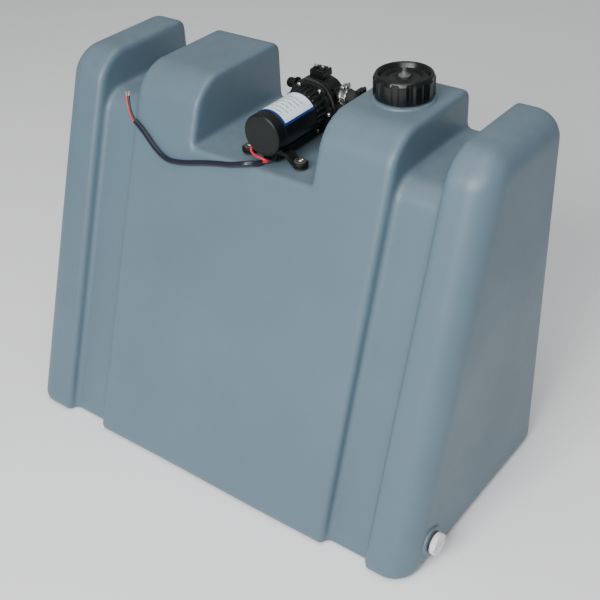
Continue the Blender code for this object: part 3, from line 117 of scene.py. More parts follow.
GROMMET_SINK = 0.0003          # how far a grommet's solid stands off the notch floor
PUMP_AXIS = middle("motor_can") * (1, 0, 1)
PORT_AXIS = middle("suction_hose") * (0, 1, 1)
NECK = middle("cap_seal") * (1, 1, 0)
DRAIN = middle("bung_seal") * (0, 1, 1)
NOTCH_FLOOR = span("foot_grommet_1", 2)[0] - GROMMET_SINK
print("pump axis", PUMP_AXIS.round(4), "notch floor", round(NOTCH_FLOOR, 4))

# %% [markdown]
# ## Putting numpy surfaces into meshes
# A surface here is a grid of points: one direction runs round or along a profile, the other
# carries it along. The grid goes into a mesh in one call each for points, corners and faces,
# which is far quicker than adding faces one by one.

# %% Surfaces


SHARP_FROM = 35          # degrees between two faces, above which their edge stays sharp


def mesh_of(name, points, faces):
    """A mesh from an (n, 3) array of points and lists of face corners."""
    mesh = bpy.data.meshes.new(name)
    mesh.from_pydata(np.asarray(points).tolist(), [], [list(face) for face in faces])
    mesh.update()
    return mesh


def piece_of(name, mesh, body="tank", sharp_from=SHARP_FROM):
    """Shade a mesh smooth, make it an object, and let it ride a body."""
    mesh.shade_smooth()
    mesh.set_sharp_from_angle(angle=radians(sharp_from))
    made = bpy.data.objects.new(name, mesh)
    bpy.context.scene.collection.objects.link(made)
    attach(made, body)
    return made


def grid_faces(rows, columns, wrap_rows=False, wrap_columns=True):
    """Quads over a grid of points, joined round at the ends that wrap."""
    row = np.arange(rows if wrap_rows else rows - 1)
    column = np.arange(columns if wrap_columns else columns - 1)
    r, c = np.meshgrid(row, column, indexing="ij")
    r_next, c_next = (r + 1) % rows, (c + 1) % columns
    quads = np.stack([r * columns + c, r * columns + c_next, r_next * columns + c_next,
                      r_next * columns + c], axis=-1)
    return quads.reshape(-1, 4)


def arrows(facing):
    """Two arrows across an axis and one along it: the frame that a turned shape is built in."""
    along = {"X": (1, 0, 0), "-X": (-1, 0, 0), "Y": (0, 1, 0), "-Y": (0, -1, 0),
             "Z": (0, 0, 1)}[facing]
    along = np.array(along, float)
    first = np.array((0, 0, 1.0)) if facing != "Z" else np.array((1.0, 0, 0))
    return first, np.cross(along, first), along


def soften(profile, radius, steps=3):
    """Cut each corner of a closed (radius, height) profile with a small curve.

    A point is replaced by steps + 1 points on the quadratic curve that leaves one edge and
    joins the next, starting no further from the corner than radius or 45% of the edge.
    """
    profile = np.asarray(profile, float)
    before, after = np.roll(profile, 1, axis=0), np.roll(profile, -1, axis=0)
    reach = [np.minimum(radius / np.maximum(np.linalg.norm(other - profile, axis=1), 1e-9), 0.45)
             for other in (before, after)]
    keep = profile[:, 0] < 1e-9
    start = profile + (before - profile) * reach[0][:, None]
    end = profile + (after - profile) * reach[1][:, None]
    share = np.linspace(0, 1, steps + 1)[None, :, None]
    curve = ((1 - share) ** 2 * start[:, None] + 2 * share * (1 - share) * profile[:, None]
             + share ** 2 * end[:, None])
    return np.concatenate([profile[i:i + 1] if keep[i] else curve[i]
                           for i in range(len(profile))])


def lathe(name, profile, centre, facing="Z", steps=64, body="tank", ripple=None, shape=None,
          round_off=0.0004):
    """Turn a closed (radius, height) profile round an axis.

    Point = centre + radius (cos a first + sin a second) + height along, for every angle a.
    ripple(angles, radii, heights) gives an amount to add to each radius, and shape(points)
    moves the finished points, for what doesn't run round the axis, such as a flat or a slot.
    """
    profile = soften(profile, round_off) if round_off else np.asarray(profile, float)
    first, second, along = arrows(facing)
    angle = np.linspace(0, 2 * pi, steps, endpoint=False)
    radius = np.repeat(profile[:, :1], steps, axis=1)
    height = np.repeat(profile[:, 1:], steps, axis=1)
    if ripple:
        radius = radius + ripple(angle[None, :], radius, height)
    ring = (np.cos(angle)[None, :, None] * first + np.sin(angle)[None, :, None] * second)
    points = np.asarray(centre) + radius[..., None] * ring + height[..., None] * along
    return closed_grid(name, shape(points) if shape else points, body)


def closed_grid(name, points, body="tank", wrap_rows=True):
    """A piece from a grid of points: doubles at the axis are merged and normals set outwards."""
    row_count, column_count = points.shape[:2]
    mesh = mesh_of(name, points.reshape(-1, 3), grid_faces(row_count, column_count, wrap_rows))
    shape = bmesh.new()
    shape.from_mesh(mesh)
    bmesh.ops.remove_doubles(shape, verts=shape.verts, dist=2e-6)
    bmesh.ops.holes_fill(shape, edges=[edge for edge in shape.edges if edge.is_boundary])
    bmesh.ops.recalc_face_normals(shape, faces=shape.faces)
    shape.to_mesh(mesh)
    shape.free()
    return piece_of(name, mesh, body)


def block(name, low, high, bevel, segments=2):
    """A box between two corners, with its edges rounded into the mesh."""
    low, high = np.asarray(low, float), np.asarray(high, float)
    shape = bmesh.new()
    bmesh.ops.create_cube(shape, size=1)
    for point in shape.verts:
        point.co = Vector((low + high) / 2 + np.array(point.co) * (high - low))
    bmesh.ops.bevel(shape, geom=shape.edges, offset=bevel, segments=segments, profile=0.5,
                    affect="EDGES")
    mesh = bpy.data.meshes.new(name)
    shape.to_mesh(mesh)
    shape.free()
    return piece_of(name, mesh)


# %% [markdown]
# ## Finishes
# Every finish is a Principled BSDF whose colour, roughness and bump come from a few shared
# node groups: a fine grain, a slow mottle, and dust that gathers on upward faces. A group
# puts out only colours, numbers and normals, so an exporter can still read the material.

# %% Shared effects


def new_group(name, inputs, outputs):
    """An empty node group with named sockets, and its input and output nodes."""
    group = bpy.data.node_groups.new(name, "ShaderNodeTree")
    for label, kind, value in inputs:
        socket = group.interface.new_socket(label, in_out="INPUT", socket_type=kind)
        socket.default_value = value
    for label, kind in outputs:
        group.interface.new_socket(label, in_out="OUTPUT", socket_type=kind)
    return group, group.nodes.new("NodeGroupInput"), group.nodes.new("NodeGroupOutput")


def feed(tree, socket, value):
    """Link a socket to a socket, or set it to a number or a colour."""
    if isinstance(value, bpy.types.NodeSocket):
        tree.links.new(value, socket)
    else:
        socket.default_value = value


def math_node(tree, operation, *values, clamp=False):
    """A Math node whose inputs are sockets or plain numbers."""
    node = tree.nodes.new("ShaderNodeMath")
    node.operation = operation
    node.use_clamp = clamp
    for socket, value in zip(node.inputs, values):
        feed(tree, socket, value)
    return node.outputs[0]


def mix_colour(tree, factor, first, second):
    """A Mix node on colours: the first where the factor is 0, the second where it's 1."""
    node = tree.nodes.new("ShaderNodeMix")
    node.data_type = "RGBA"
    for place, value in ((0, factor), (6, first), (7, second)):
        feed(tree, node.inputs[place], value)
    return node.outputs[2]


def noise(tree, vector, scale, detail=3.0, roughness=0.5):
    """A noise texture read at object coordinates times a scale."""
    node = tree.nodes.new("ShaderNodeTexNoise")
    node.inputs["Detail"].default_value = detail
    node.inputs["Roughness"].default_value = roughness
    tree.links.new(vector, node.inputs["Vector"])
    feed(tree, node.inputs["Scale"], scale)
    return node.outputs["Fac"]


def grain_group():
    """Bumps of two sizes: fine grain, and waviness eight times wider and four times deeper."""
    group, inside, out = new_group(
        "grain", [("Scale", "NodeSocketFloat", 900.0), ("Depth", "NodeSocketFloat", 0.00005),
                  ("Waviness", "NodeSocketFloat", 0.5)], [("Normal", "NodeSocketVector")])
    place = group.nodes.new("ShaderNodeTexCoord").outputs["Object"]
    fine = noise(group, place, inside.outputs["Scale"], 2.0)
    slow = noise(group, place, math_node(group, "MULTIPLY", inside.outputs["Scale"], 0.12), 2.0)
    slow = math_node(group, "MULTIPLY", slow, inside.outputs["Waviness"])
    height = math_node(group, "ADD", fine, math_node(group, "MULTIPLY", slow, 4.0))
    bump = group.nodes.new("ShaderNodeBump")
    group.links.new(height, bump.inputs["Height"])
    group.links.new(inside.outputs["Depth"], bump.inputs["Distance"])
    group.links.new(bump.outputs["Normal"], out.inputs["Normal"])
    return group


def mottle_group():
    """Colour and roughness that drift slowly between two values, with dust on upward faces."""
    group, inside, out = new_group(
        "mottle",
        [("Colour", "NodeSocketColor", (0.5, 0.5, 0.5, 1)),
         ("Second", "NodeSocketColor", (0.4, 0.4, 0.4, 1)),
         ("Scale", "NodeSocketFloat", 12.0), ("Roughness", "NodeSocketFloat", 0.5),
         ("Drift", "NodeSocketFloat", 0.1), ("Dust", "NodeSocketFloat", 0.1),
         ("Dust colour", "NodeSocketColor", (0.42, 0.40, 0.36, 1))],
        [("Colour", "NodeSocketColor"), ("Roughness", "NodeSocketFloat")])
    place = group.nodes.new("ShaderNodeTexCoord").outputs["Object"]
    cloud = noise(group, place, inside.outputs["Scale"], 4.0, 0.6)
    sharp = math_node(group, "MULTIPLY_ADD", cloud, 2.4, -0.7, clamp=True)
    mottled = mix_colour(group, sharp, inside.outputs["Colour"], inside.outputs["Second"])
    normal = group.nodes.new("ShaderNodeNewGeometry").outputs["Normal"]
    split = group.nodes.new("ShaderNodeSeparateXYZ")
    group.links.new(normal, split.inputs[0])
    upward = math_node(group, "MULTIPLY_ADD", split.outputs["Z"], 1.6, -0.6, clamp=True)
    fleck = noise(group, place, math_node(group, "MULTIPLY", inside.outputs["Scale"], 9.0), 4.0)
    layer = math_node(group, "MULTIPLY", math_node(group, "MULTIPLY", upward, fleck),
                      inside.outputs["Dust"], clamp=True)
    dusty = mix_colour(group, layer, mottled, inside.outputs["Dust colour"])
    group.links.new(dusty, out.inputs["Colour"])
    swing = math_node(group, "MULTIPLY", math_node(group, "SUBTRACT", cloud, 0.5),
                      inside.outputs["Drift"])
    rough = math_node(group, "ADD", inside.outputs["Roughness"], swing)
    rough = math_node(group, "ADD", rough, math_node(group, "MULTIPLY", layer, 0.4), clamp=True)
    group.links.new(rough, out.inputs["Roughness"])
    return group


GRAIN = grain_group()
MOTTLE = mottle_group()


def place_group(tree, group, values):
    """Put a shared group in a material and set its inputs by name."""
    node = tree.nodes.new("ShaderNodeGroup")
    node.node_tree = group
    for label, value in values.items():
        node.inputs[label].default_value = value
    return node


def finish(name, colour, roughness, metallic=0.0, second=None, scale=40.0, drift=0.12,
           dust=0.08, grain=900.0, depth=0.00003, waviness=0.3, specular=0.5):
    """A material from the shared groups. Constants go straight on the shader's sockets."""
    second = second or tuple(channel * 0.82 for channel in colour)
    made = bpy.data.materials.new(name)
    made.use_nodes = True
    tree = made.node_tree
    shader = tree.nodes["Principled BSDF"]
    tone = place_group(tree, MOTTLE, {
        "Colour": (*colour, 1), "Second": (*second, 1), "Scale": scale, "Roughness": roughness,
        "Drift": drift, "Dust": dust})
    bumps = place_group(tree, GRAIN, {"Scale": grain, "Depth": depth, "Waviness": waviness})
    tree.links.new(tone.outputs["Colour"], shader.inputs["Base Color"])
    tree.links.new(tone.outputs["Roughness"], shader.inputs["Roughness"])
    tree.links.new(bumps.outputs["Normal"], shader.inputs["Normal"])
    shader.inputs["Metallic"].default_value = metallic
    shader.inputs["Specular IOR Level"].default_value = specular
    return made


# %% The finishes
LOOKS = {
    "tank_plastic": dict(colour=(0.1, 0.158, 0.2), roughness=0.42, second=(0.088, 0.139, 0.176),
                         scale=7.0, drift=0.16, dust=0.14, grain=620.0, depth=0.00006,
                         waviness=0.8),
    "cap_plastic": dict(colour=(0.004, 0.005, 0.005), roughness=0.26, dust=0.03, grain=1400.0,
                        depth=0.00002, waviness=0.2, specular=0.4),
    "nipple_plastic": dict(colour=(0.085, 0.09, 0.088), roughness=0.5, dust=0.1),
    "bung_plastic": dict(colour=(0.80, 0.81, 0.80), roughness=0.42, dust=0.05),
    "pump_plastic": dict(colour=(0.0045, 0.0065, 0.0062), roughness=0.40, dust=0.03, scale=60.0,
                         grain=1600.0, depth=0.00002, specular=0.25),
    "can_paint": dict(colour=(0.005, 0.006, 0.008), roughness=0.32, dust=0.03, scale=50.0,
                      grain=2500.0, depth=0.00001, specular=0.35),
    "label_film": dict(colour=(0.78, 0.83, 0.80), roughness=0.30),
    "rubber": dict(colour=(0.030, 0.024, 0.019), roughness=0.75, dust=0.15, grain=1800.0),
    "steel": dict(colour=(0.60, 0.60, 0.57), roughness=0.24, metallic=1.0, grain=1200.0,
                  depth=0.00001),
    "bronze": dict(colour=(0.46, 0.30, 0.12), roughness=0.45, metallic=1.0, grain=2500.0),
    "copper": dict(colour=(0.72, 0.36, 0.20), roughness=0.35, metallic=1.0, grain=2500.0),
    "ferrite": dict(colour=(0.06, 0.06, 0.065), roughness=0.6, grain=2500.0),
    "carbon": dict(colour=(0.02, 0.02, 0.02), roughness=0.6, grain=2500.0),
    "nylon": dict(colour=(0.66, 0.63, 0.54), roughness=0.45, dust=0.05),
    "hose_rubber": dict(colour=(0.006, 0.006, 0.007), roughness=0.5, dust=0.04, grain=1500.0),
    "cable_pvc": dict(colour=(0.010, 0.012, 0.024), roughness=0.30, dust=0.0, grain=1800.0),
    "core_red": dict(colour=(0.60, 0.020, 0.035), roughness=0.35, dust=0.0),
    "core_black": dict(colour=(0.010, 0.010, 0.014), roughness=0.38, dust=0.0),
}
FINISHES = {name: finish(name, **look) for name, look in LOOKS.items()}
for part in frame["record"]["subparts"]:
    solid = frame["nodes"][part["node"]]
    solid.data.materials.clear()
    solid.data.materials.append(FINISHES[part["material_slot"]])


def dress(piece, slot, *nodes):
    """Give a piece its finish and say which solids it stands for."""
    piece.data.materials.clear()
    piece.data.materials.append(FINISHES[slot])
    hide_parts(*nodes)
    print(f"{piece.name}: {len(piece.data.polygons)} faces, for {', '.join(nodes)}")
    return piece


# %% [markdown]
# ## The tank as a field
# A moulded tank has no sharp edge anywhere, so its shape is written as a field: a number for
# every point that is negative inside, zero on the skin and positive outside. Each flat side
# is one simple field. Two of them are joined with a rounded maximum, which keeps the part
# inside both and turns the corner between them with a given radius; the grooves and the notch
# are taken away with the same function turned inside out, which makes their fillets. Cutting a
# block and rounding its edges afterwards could do it too, but the roundings would collide where
# a groove, the notch and the top meet, and a field has no such corners.

# %% The tank's field
TANK_LOW = np.array(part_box("tank_shell")[0])
HALF_WIDTH, HALF_DEPTH, HEIGHT = 0.315, 0.1625, 0.480
TOP_DEPTH = 0.155
SLOPE = (2 * HALF_DEPTH - TOP_DEPTH) / HEIGHT
GROOVES = ((-0.2160, 0.0320), (0.2270, 0.0300))      # middle and half width of each
NOTCH_MIDDLE, NOTCH_HALF = 0.0065, 0.0905
GROOVE_DEPTH, GROOVE_FLOOR = 0.0140, 0.4300
TOP_ROUND, SIDE_ROUND, BACK_ROUND, FOOT_ROUND = 0.034, 0.032, 0.014, 0.012
GROOVE_BEND, GROOVE_FILLET, GROOVE_EDGE = 0.022, 0.006, 0.0065
NOTCH_FILLET, NOTCH_EDGE = 0.005, 0.0045
WALL, WAVE_RISE = 0.0095, 0.0005
NECK_BORE, NECK_OUT, NECK_RISE = 0.0240, 0.0275, 0.0200
DRAIN_BORE = 0.0105
HOLE_ROOM = 0.0012              # between the hole in the wall and the bore turned into it
NECK_HOLE_FROM, DRAIN_HOLE_FROM = 0.45, 0.29      # height and x where each hole starts


def rounded_max(a, b, radius):
    """min(max(a, b) + r, 0) + length of the positive parts of (a + r, b + r) - r."""
    a, b = a + radius, b + radius
    return (np.minimum(np.maximum(a, b), 0)
            + np.hypot(np.maximum(a, 0), np.maximum(b, 0)) - radius)


def off_front(p):
    """Distance off the leaning front: (front line at this height - y) / slant length."""
    return (-HALF_DEPTH + SLOPE * p[..., 2] - p[..., 1]) / np.sqrt(1 + SLOPE ** 2)


def outer_body(p):
    """The tapered block with its rounded edges, and the slow waviness of a moulded wall."""
    x, y, z = p[..., 0], p[..., 1], p[..., 2]
    wave = WAVE_RISE * (np.sin(19 * x + 3) * np.cos(17 * z) + np.sin(23 * y))
    shape = rounded_max(off_front(p) + wave, z - HEIGHT, TOP_ROUND)
    shape = rounded_max(shape, np.abs(x) - HALF_WIDTH + 0.4 * wave, SIDE_ROUND)
    shape = rounded_max(shape, y - HALF_DEPTH, BACK_ROUND)
    return rounded_max(shape, -z, FOOT_ROUND)


def carved(p, inset=0.0):
    """The block with both strap grooves and the notch taken out of it, shrunk by the inset.

    A groove or the notch is itself a field, the rounded maximum of its sides and its floor,
    and taking it away is a rounded maximum with that field turned inside out.
    """
    shape = outer_body(p) + inset
    floor = rounded_max(off_front(p) + GROOVE_DEPTH, p[..., 2] - GROOVE_FLOOR, GROOVE_BEND)
    for centre, half in GROOVES:
        cut = rounded_max(np.abs(p[..., 0] - centre) - half, -floor, GROOVE_FILLET)
        shape = rounded_max(shape, inset - cut, GROOVE_EDGE)
    cut = rounded_max(np.abs(p[..., 0] - NOTCH_MIDDLE) - NOTCH_HALF, NOTCH_FLOOR - p[..., 2],
                      NOTCH_FILLET)
    return rounded_max(shape, inset - cut, NOTCH_EDGE)


def tank_field(p):
    """Skin outside, the same skin shrunk by the wall inside, and holes for neck and drain."""
    neck = np.hypot(p[..., 0] - NECK[0], p[..., 1] - NECK[1]) - NECK_BORE - HOLE_ROOM
    neck = np.maximum(neck, NECK_HOLE_FROM - p[..., 2])
    drain = np.hypot(p[..., 1] - DRAIN[1], p[..., 2] - DRAIN[2]) - DRAIN_BORE - HOLE_ROOM
    drain = np.maximum(drain, DRAIN_HOLE_FROM - p[..., 0])
    hollow = np.minimum(carved(p, WALL), np.minimum(neck, drain))
    return np.maximum(carved(p), -hollow)


# %% [markdown]
# ## From a field to a surface
# A surface net lays a grid of cells over the field. Every cell that the skin passes through
# gets one point, the mean of the places where the skin crosses its edges, and every crossed
# edge gets one four-sided face between the four cells round it. Each point is then slid along
# the field's slope until the field is zero there, so the skin is smooth between cells. A net
# gives even four-sided faces, where cutting each cell into triangles would leave slivers.

# %% Surface net
SLOPE_STEP = 1e-4
SLIDES, MOST_SLIDE = 4, 0.4         # the number of slides, each at most this share of a cell


def surface_net(field, low, high, cell):
    """Points and four-sided faces of the zero level of a field, whole arrays at a time."""
    counts = np.ceil((high - low) / cell).astype(int) + 1
    axes = [low[i] + cell * np.arange(counts[i]) for i in range(3)]
    grid = np.stack(np.meshgrid(*axes, indexing="ij"), axis=-1)
    value = field(grid)
    inside = value < 0
    total = np.zeros(tuple(counts - 1) + (3,))
    crossings = np.zeros(tuple(counts - 1))
    for axis in range(3):
        first, last = [slice(None)] * 3, [slice(None)] * 3
        first[axis], last[axis] = slice(None, -1), slice(1, None)
        a, b = value[tuple(first)], value[tuple(last)]
        crossed = (a < 0) != (b < 0)
        share = np.where(crossed, a / np.where(crossed, a - b, 1.0), 0.0)
        place = grid[tuple(first)].copy()
        place[..., axis] += share * cell
        place *= crossed[..., None]
        others = [other for other in range(3) if other != axis]
        for du in (0, 1):
            for dv in (0, 1):
                pick = [slice(None)] * 3
                for other, shift in zip(others, (du, dv)):
                    pick[other] = slice(shift, counts[other] - 1 + shift)
                total += place[tuple(pick)]
                crossings += crossed[tuple(pick)]
    used = crossings > 0
    points = total[used] / crossings[used][:, None]
    number = np.full(used.shape, -1)
    number[used] = np.arange(len(points))
    quads = []
    for axis in range(3):
        order = (axis, (axis + 1) % 3, (axis + 2) % 3)
        sign, ids = np.transpose(inside, order), np.transpose(number, order)
        a, b = sign[:-1, 1:-1, 1:-1], sign[1:, 1:-1, 1:-1]
        i, j, k = np.nonzero(a != b)
        four = np.stack([ids[i, j, k], ids[i, j + 1, k], ids[i, j + 1, k + 1],
                         ids[i, j, k + 1]], axis=1)
        back = ~a[i, j, k]
        four[back] = four[back][:, ::-1]
        quads.append(four)
    for _ in range(SLIDES):
        slope = np.stack([(field(points + SLOPE_STEP * unit) - field(points - SLOPE_STEP * unit))
                          / (2 * SLOPE_STEP) for unit in np.eye(3)], axis=1)
        length = np.maximum((slope ** 2).sum(axis=1), 0.2)
        move = -(field(points) / length)[:, None] * slope
        points = points + np.clip(move, -MOST_SLIDE * cell, MOST_SLIDE * cell)
    return points, np.concatenate(quads)


# %% The tank
NET_MARGIN, NET_CELL = 0.012, 0.0050
TANK_TOP = np.array((HALF_WIDTH, HALF_DEPTH, HEIGHT))
points, quads = surface_net(tank_field, TANK_LOW - NET_MARGIN, TANK_TOP + NET_MARGIN, NET_CELL)
dress(piece_of("tank", mesh_of("tank", points, quads), sharp_from=180), "tank_plastic",
      "tank_shell")
print("tank:", len(points), "points,", len(quads), "faces; box", points.min(0).round(4),
      points.max(0).round(4))

# %% [markdown]
# ## Filler neck and drain boss
# The neck is turned about the upright line through the cap's seal. Its thread is a helix: the
# radius swells wherever height / lead and angle / full turn agree, so the ridge climbs by one
# lead in one turn. The cap carries the same helix half a lead away and turned inwards.

# %% Neck and boss
THREAD_LEAD = 0.0085
NECK_AT = NECK + (0, 0, HEIGHT)
DRAIN_AT = DRAIN + (HALF_WIDTH, 0, 0)


def ramp(value, low, high):
    """0 below low, 1 above high, a straight line between."""
    return np.clip((value - low) / (high - low), 0, 1)


def thread(angle, height, rise, start, end, offset=0.0):
    """rise where cos(2 pi height / lead - angle + offset) is near 1, faded at both ends."""
    ridge = ramp(np.cos(2 * pi * height / THREAD_LEAD - angle + offset), 0.45, 0.95)
    return rise * ridge * ramp(height, start, start + 0.001) * ramp(-height, -end, -end + 0.001)


def stretch(start, end, count):
    """Evenly spaced (radius, height) points after start and before end."""
    share = np.linspace(0, 1, count + 2)[1:-1, None]
    return [tuple(row) for row in np.array(start) + share * (np.array(end) - np.array(start))]


neck_profile = ([(NECK_BORE, -0.0125), (NECK_BORE, NECK_RISE - 0.0008),
                 (NECK_BORE + 0.0008, NECK_RISE), (NECK_OUT - 0.0008, NECK_RISE),
                 (NECK_OUT, NECK_RISE - 0.0008)]
                + stretch((NECK_OUT, NECK_RISE - 0.0008), (NECK_OUT, 0.0040), 34)
                + [(NECK_OUT, 0.0040), (NECK_OUT + 0.0012, 0.0024), (0.0362, 0.0022),
                   (0.0371, 0.0017), (0.0384, -0.0010), (0.0390, -0.0040), (0.0290, -0.0125)])
dress(lathe(
    "filler_neck", neck_profile, NECK_AT, steps=120, round_off=0,
    ripple=lambda a, r, h: np.where(np.abs(r - NECK_OUT) < 1e-6,
                                    thread(a, h, 0.0009, 0.0045, 0.0180), 0)),
    "tank_plastic", "tank_shell")
dress(lathe(
    "drain_boss", [(DRAIN_BORE, -0.0120), (DRAIN_BORE, 0.0020), (DRAIN_BORE + 0.0005, 0.0025),
                   (0.0185, 0.0025), (0.0194, 0.0019), (0.0202, -0.0006), (0.0222, -0.0016),
                   (0.0160, -0.0120)], DRAIN_AT, "X", steps=72, round_off=0),
    "tank_plastic", "tank_shell")

# %% [markdown]
# ## Filler cap, breather and drain bung
# The cap's section runs up the skirt, over a thin rim, down into a dish with a raised ring and
# back along the inside. Its twelve grip lugs are one wave round the skirt, flattened on top so
# that each lug is a plateau with steep sides.

# %% Cap
CAP_FOOT, CAP_RIM_TOP, CAP_DISH_TOP, CAP_UNDER = 0.00405, 0.03105, 0.0261, 0.0231
CAP_OUT, CAP_IN, LUGS, LUG_RISE = 0.0340, 0.0291, 12, 0.0016


def lugs(angle, radius, height):
    """Plateaus of a cosine with twelve waves, faded at the skirt's foot and at its rim."""
    wave = ramp(np.cos(LUGS * angle), -0.55, 0.15)
    fade = ramp(height, CAP_FOOT, CAP_FOOT + 0.0015) * ramp(-height, -0.0285, -0.0262)
    bump = LUG_RISE * wave * fade * (radius > CAP_OUT - 0.0004)
    return bump - thread(angle, height, 0.0005, 0.0060, 0.0200, pi) * (
        np.abs(radius - CAP_IN) < 1e-6)


cap_section = ([(0.0060, CAP_UNDER), (0.0060, CAP_DISH_TOP), (0.0075, CAP_DISH_TOP + 0.0001),
                (0.0100, 0.0246), (0.0150, 0.0244), (0.0165, 0.0249), (0.0185, 0.0249),
                (0.0195, 0.0244), (0.0252, 0.0244), (0.0272, 0.0252), (0.0296, 0.0296),
                (0.0304, 0.0307), (0.0312, CAP_RIM_TOP), (0.0322, 0.0309), (0.0333, 0.0302),
                (0.0340, 0.0290)]
               + stretch((0.0340, 0.0290), (0.0341, CAP_FOOT + 0.0004), 16)
               + [(0.0341, CAP_FOOT + 0.0004), (0.0337, CAP_FOOT), (CAP_IN + 0.0006, CAP_FOOT),
                  (CAP_IN, CAP_FOOT + 0.0006)]
               + stretch((CAP_IN, CAP_FOOT + 0.0006), (CAP_IN, CAP_UNDER - 0.0008), 26)
               + [(CAP_IN, CAP_UNDER - 0.0008), (CAP_IN - 0.0008, CAP_UNDER)])
dress(lathe("cap_with_lugs", cap_section, NECK_AT, steps=240, body="cap", ripple=lugs,
            round_off=0), "cap_plastic", "filler_cap")
dress(lathe(
    "nipple", [(0.0011, 0.0366), (0.0021, 0.0366), (0.0023, 0.0361), (0.0025, 0.0330),
               (0.0032, 0.0312), (0.0050, 0.0286), (0.0058, 0.0282), (0.0068, 0.0280),
               (0.0070, 0.0276), (0.0070, 0.0264), (0.0057, 0.0264), (0.0057, 0.0188),
               (0.0035, 0.0188), (0.0035, 0.0199), (0.0046, 0.0199), (0.0046, 0.0250),
               (0.0011, 0.0250)], NECK_AT, steps=48, body="cap", round_off=0.00025),
    "nipple_plastic", "breather_nipple")

# %% Bung
BUNG_UNDER_HEAD, BUNG_TOP, BUNG_SLOT, SLOT_DEPTH = 0.0053, 0.0123, 0.0014, 0.0026
NOTCHES, NOTCH_SINK = 36, 0.0005


def slotted(points):
    """Press a coin slot into the bung's face: points on the face within the slot sink."""
    height = points[..., 0] - DRAIN_AT[0]
    in_slot = ramp(-np.abs(points[..., 2] - DRAIN_AT[2]), -BUNG_SLOT - 0.0003, -BUNG_SLOT)
    points[..., 0] -= SLOT_DEPTH * in_slot * (height > BUNG_TOP - 0.0008)
    return points


bung_section = ([(0, BUNG_TOP)] + stretch((0, BUNG_TOP), (0.0128, BUNG_TOP), 30)
                + [(0.0128, BUNG_TOP), (0.0135, BUNG_TOP - 0.0002), (0.0140, BUNG_TOP - 0.0009),
                   (0.0140, BUNG_UNDER_HEAD + 0.0003), (0.0137, BUNG_UNDER_HEAD),
                   (0.0101, BUNG_UNDER_HEAD), (0.0099, BUNG_UNDER_HEAD - 0.0003),
                   (0.0099, -0.0085), (0.0088, -0.0097), (0, -0.0097)])


def knurl(angle, radius, height):
    """Thirty-six shallow grip notches round the bung's head."""
    on_rim = (radius > 0.0134) & (height < BUNG_TOP - 0.0004)
    return -NOTCH_SINK * ramp(np.cos(NOTCHES * angle), 0.2, 0.9) * on_rim


dress(lathe("bung", bung_section, DRAIN_AT, "X", steps=216, body="bung", ripple=knurl,
            round_off=0, shape=slotted), "bung_plastic", "drain_bung")

# %% [markdown]
# ## The motor
# Everything from the end cap to the head is turned about one line along Y, so each profile is
# (radius, y). The end cap has a thin raised ring near its edge and a small dimple in the
# middle; the can is plain; the crankcase behind it carries twenty-four cooling ribs. The ribs
# could be separate boxes, but as a ripple of the turned surface they leave no seams.

# %% Motor
MOTOR_OUT = 0.0256
RIBS, RIB_RISE = 24, 0.0016
CAN_Y = span("motor_can", 1)
CRANK_Y = span("crankcase", 1)
HEAD_Y = span("pump_head", 1)
CAP_Y = span("motor_end_cap", 1)[0]
FLANGE_Y = CRANK_Y[1] - 0.0060
print("motor can", CAN_Y, "crankcase", CRANK_Y, "head", HEAD_Y)


def raised(base, *profile):
    """The same (radius, height) points, each higher by the base."""
    return [(radius, base + height) for radius, height in profile]


dress(lathe("end_cap", raised(
    CAP_Y, (0, 0.0010), (0.0008, 0.0009), (0.0014, 0.0003), (0.0150, 0.0003), (0.0222, 0.0004),
    (0.0229, 0), (0.0236, 0), (0.0243, 0.0005), (0.0251, 0.0010), (MOTOR_OUT, 0.0021)) + raised(
    CAN_Y[0], (MOTOR_OUT, -0.0008), (0.0251, -0.0004), (0.0238, -0.0004), (0.0238, 0.0030),
    (0.0120, 0.0030), (0.0120, -0.0010), (0.0053, -0.0010), (0.0053, -0.0083), (0, -0.0083)),
    PUMP_AXIS, "Y", steps=128, round_off=0.00025), "pump_plastic", "motor_end_cap")
dress(lathe("can", raised(
    CAN_Y[0], (0.0242, 0), (MOTOR_OUT, 0), (MOTOR_OUT, 0.0012), (0.0254, 0.0018),
    (MOTOR_OUT, 0.0024)) + raised(
    CRANK_Y[0], (MOTOR_OUT, -0.0003), (0.0067, -0.0003), (0.0067, 0.0036), (0.0041, 0.0036),
    (0.0041, 0.0030), (0.0053, 0.0030), (0.0053, -0.0017), (0.0242, -0.0017)),
    PUMP_AXIS, "Y", steps=128, round_off=0.0003), "can_paint", "motor_can")


def ribs(angle, radius, height):
    """Twenty-four plateaus round the crankcase, ending just short of its flange."""
    wave = ramp(np.cos(RIBS * angle), 0.1, 0.6)
    along = ramp(height, CRANK_Y[0] + 0.0004, CRANK_Y[0] + 0.0014) * (height < FLANGE_Y + 0.001)
    return RIB_RISE * wave * along * (np.abs(radius - MOTOR_OUT) < 2e-4)


SCREW_TURNS = np.radians(90 - (55 + 60 * np.arange(6)))     # from straight up, towards +X
LOBE_HALF = 0.26                # half of a boss's width, as an angle


def lobes(angle, radius, rise, root):
    """Six round bosses, one at each screw, on whatever is wider than the root radius."""
    nearest = np.abs((angle - SCREW_TURNS[0] + pi / 6) % (pi / 3) - pi / 6)
    bump = np.sqrt(np.clip(1 - (nearest / LOBE_HALF) ** 2, 0, 1))
    return rise * bump * (radius > root)


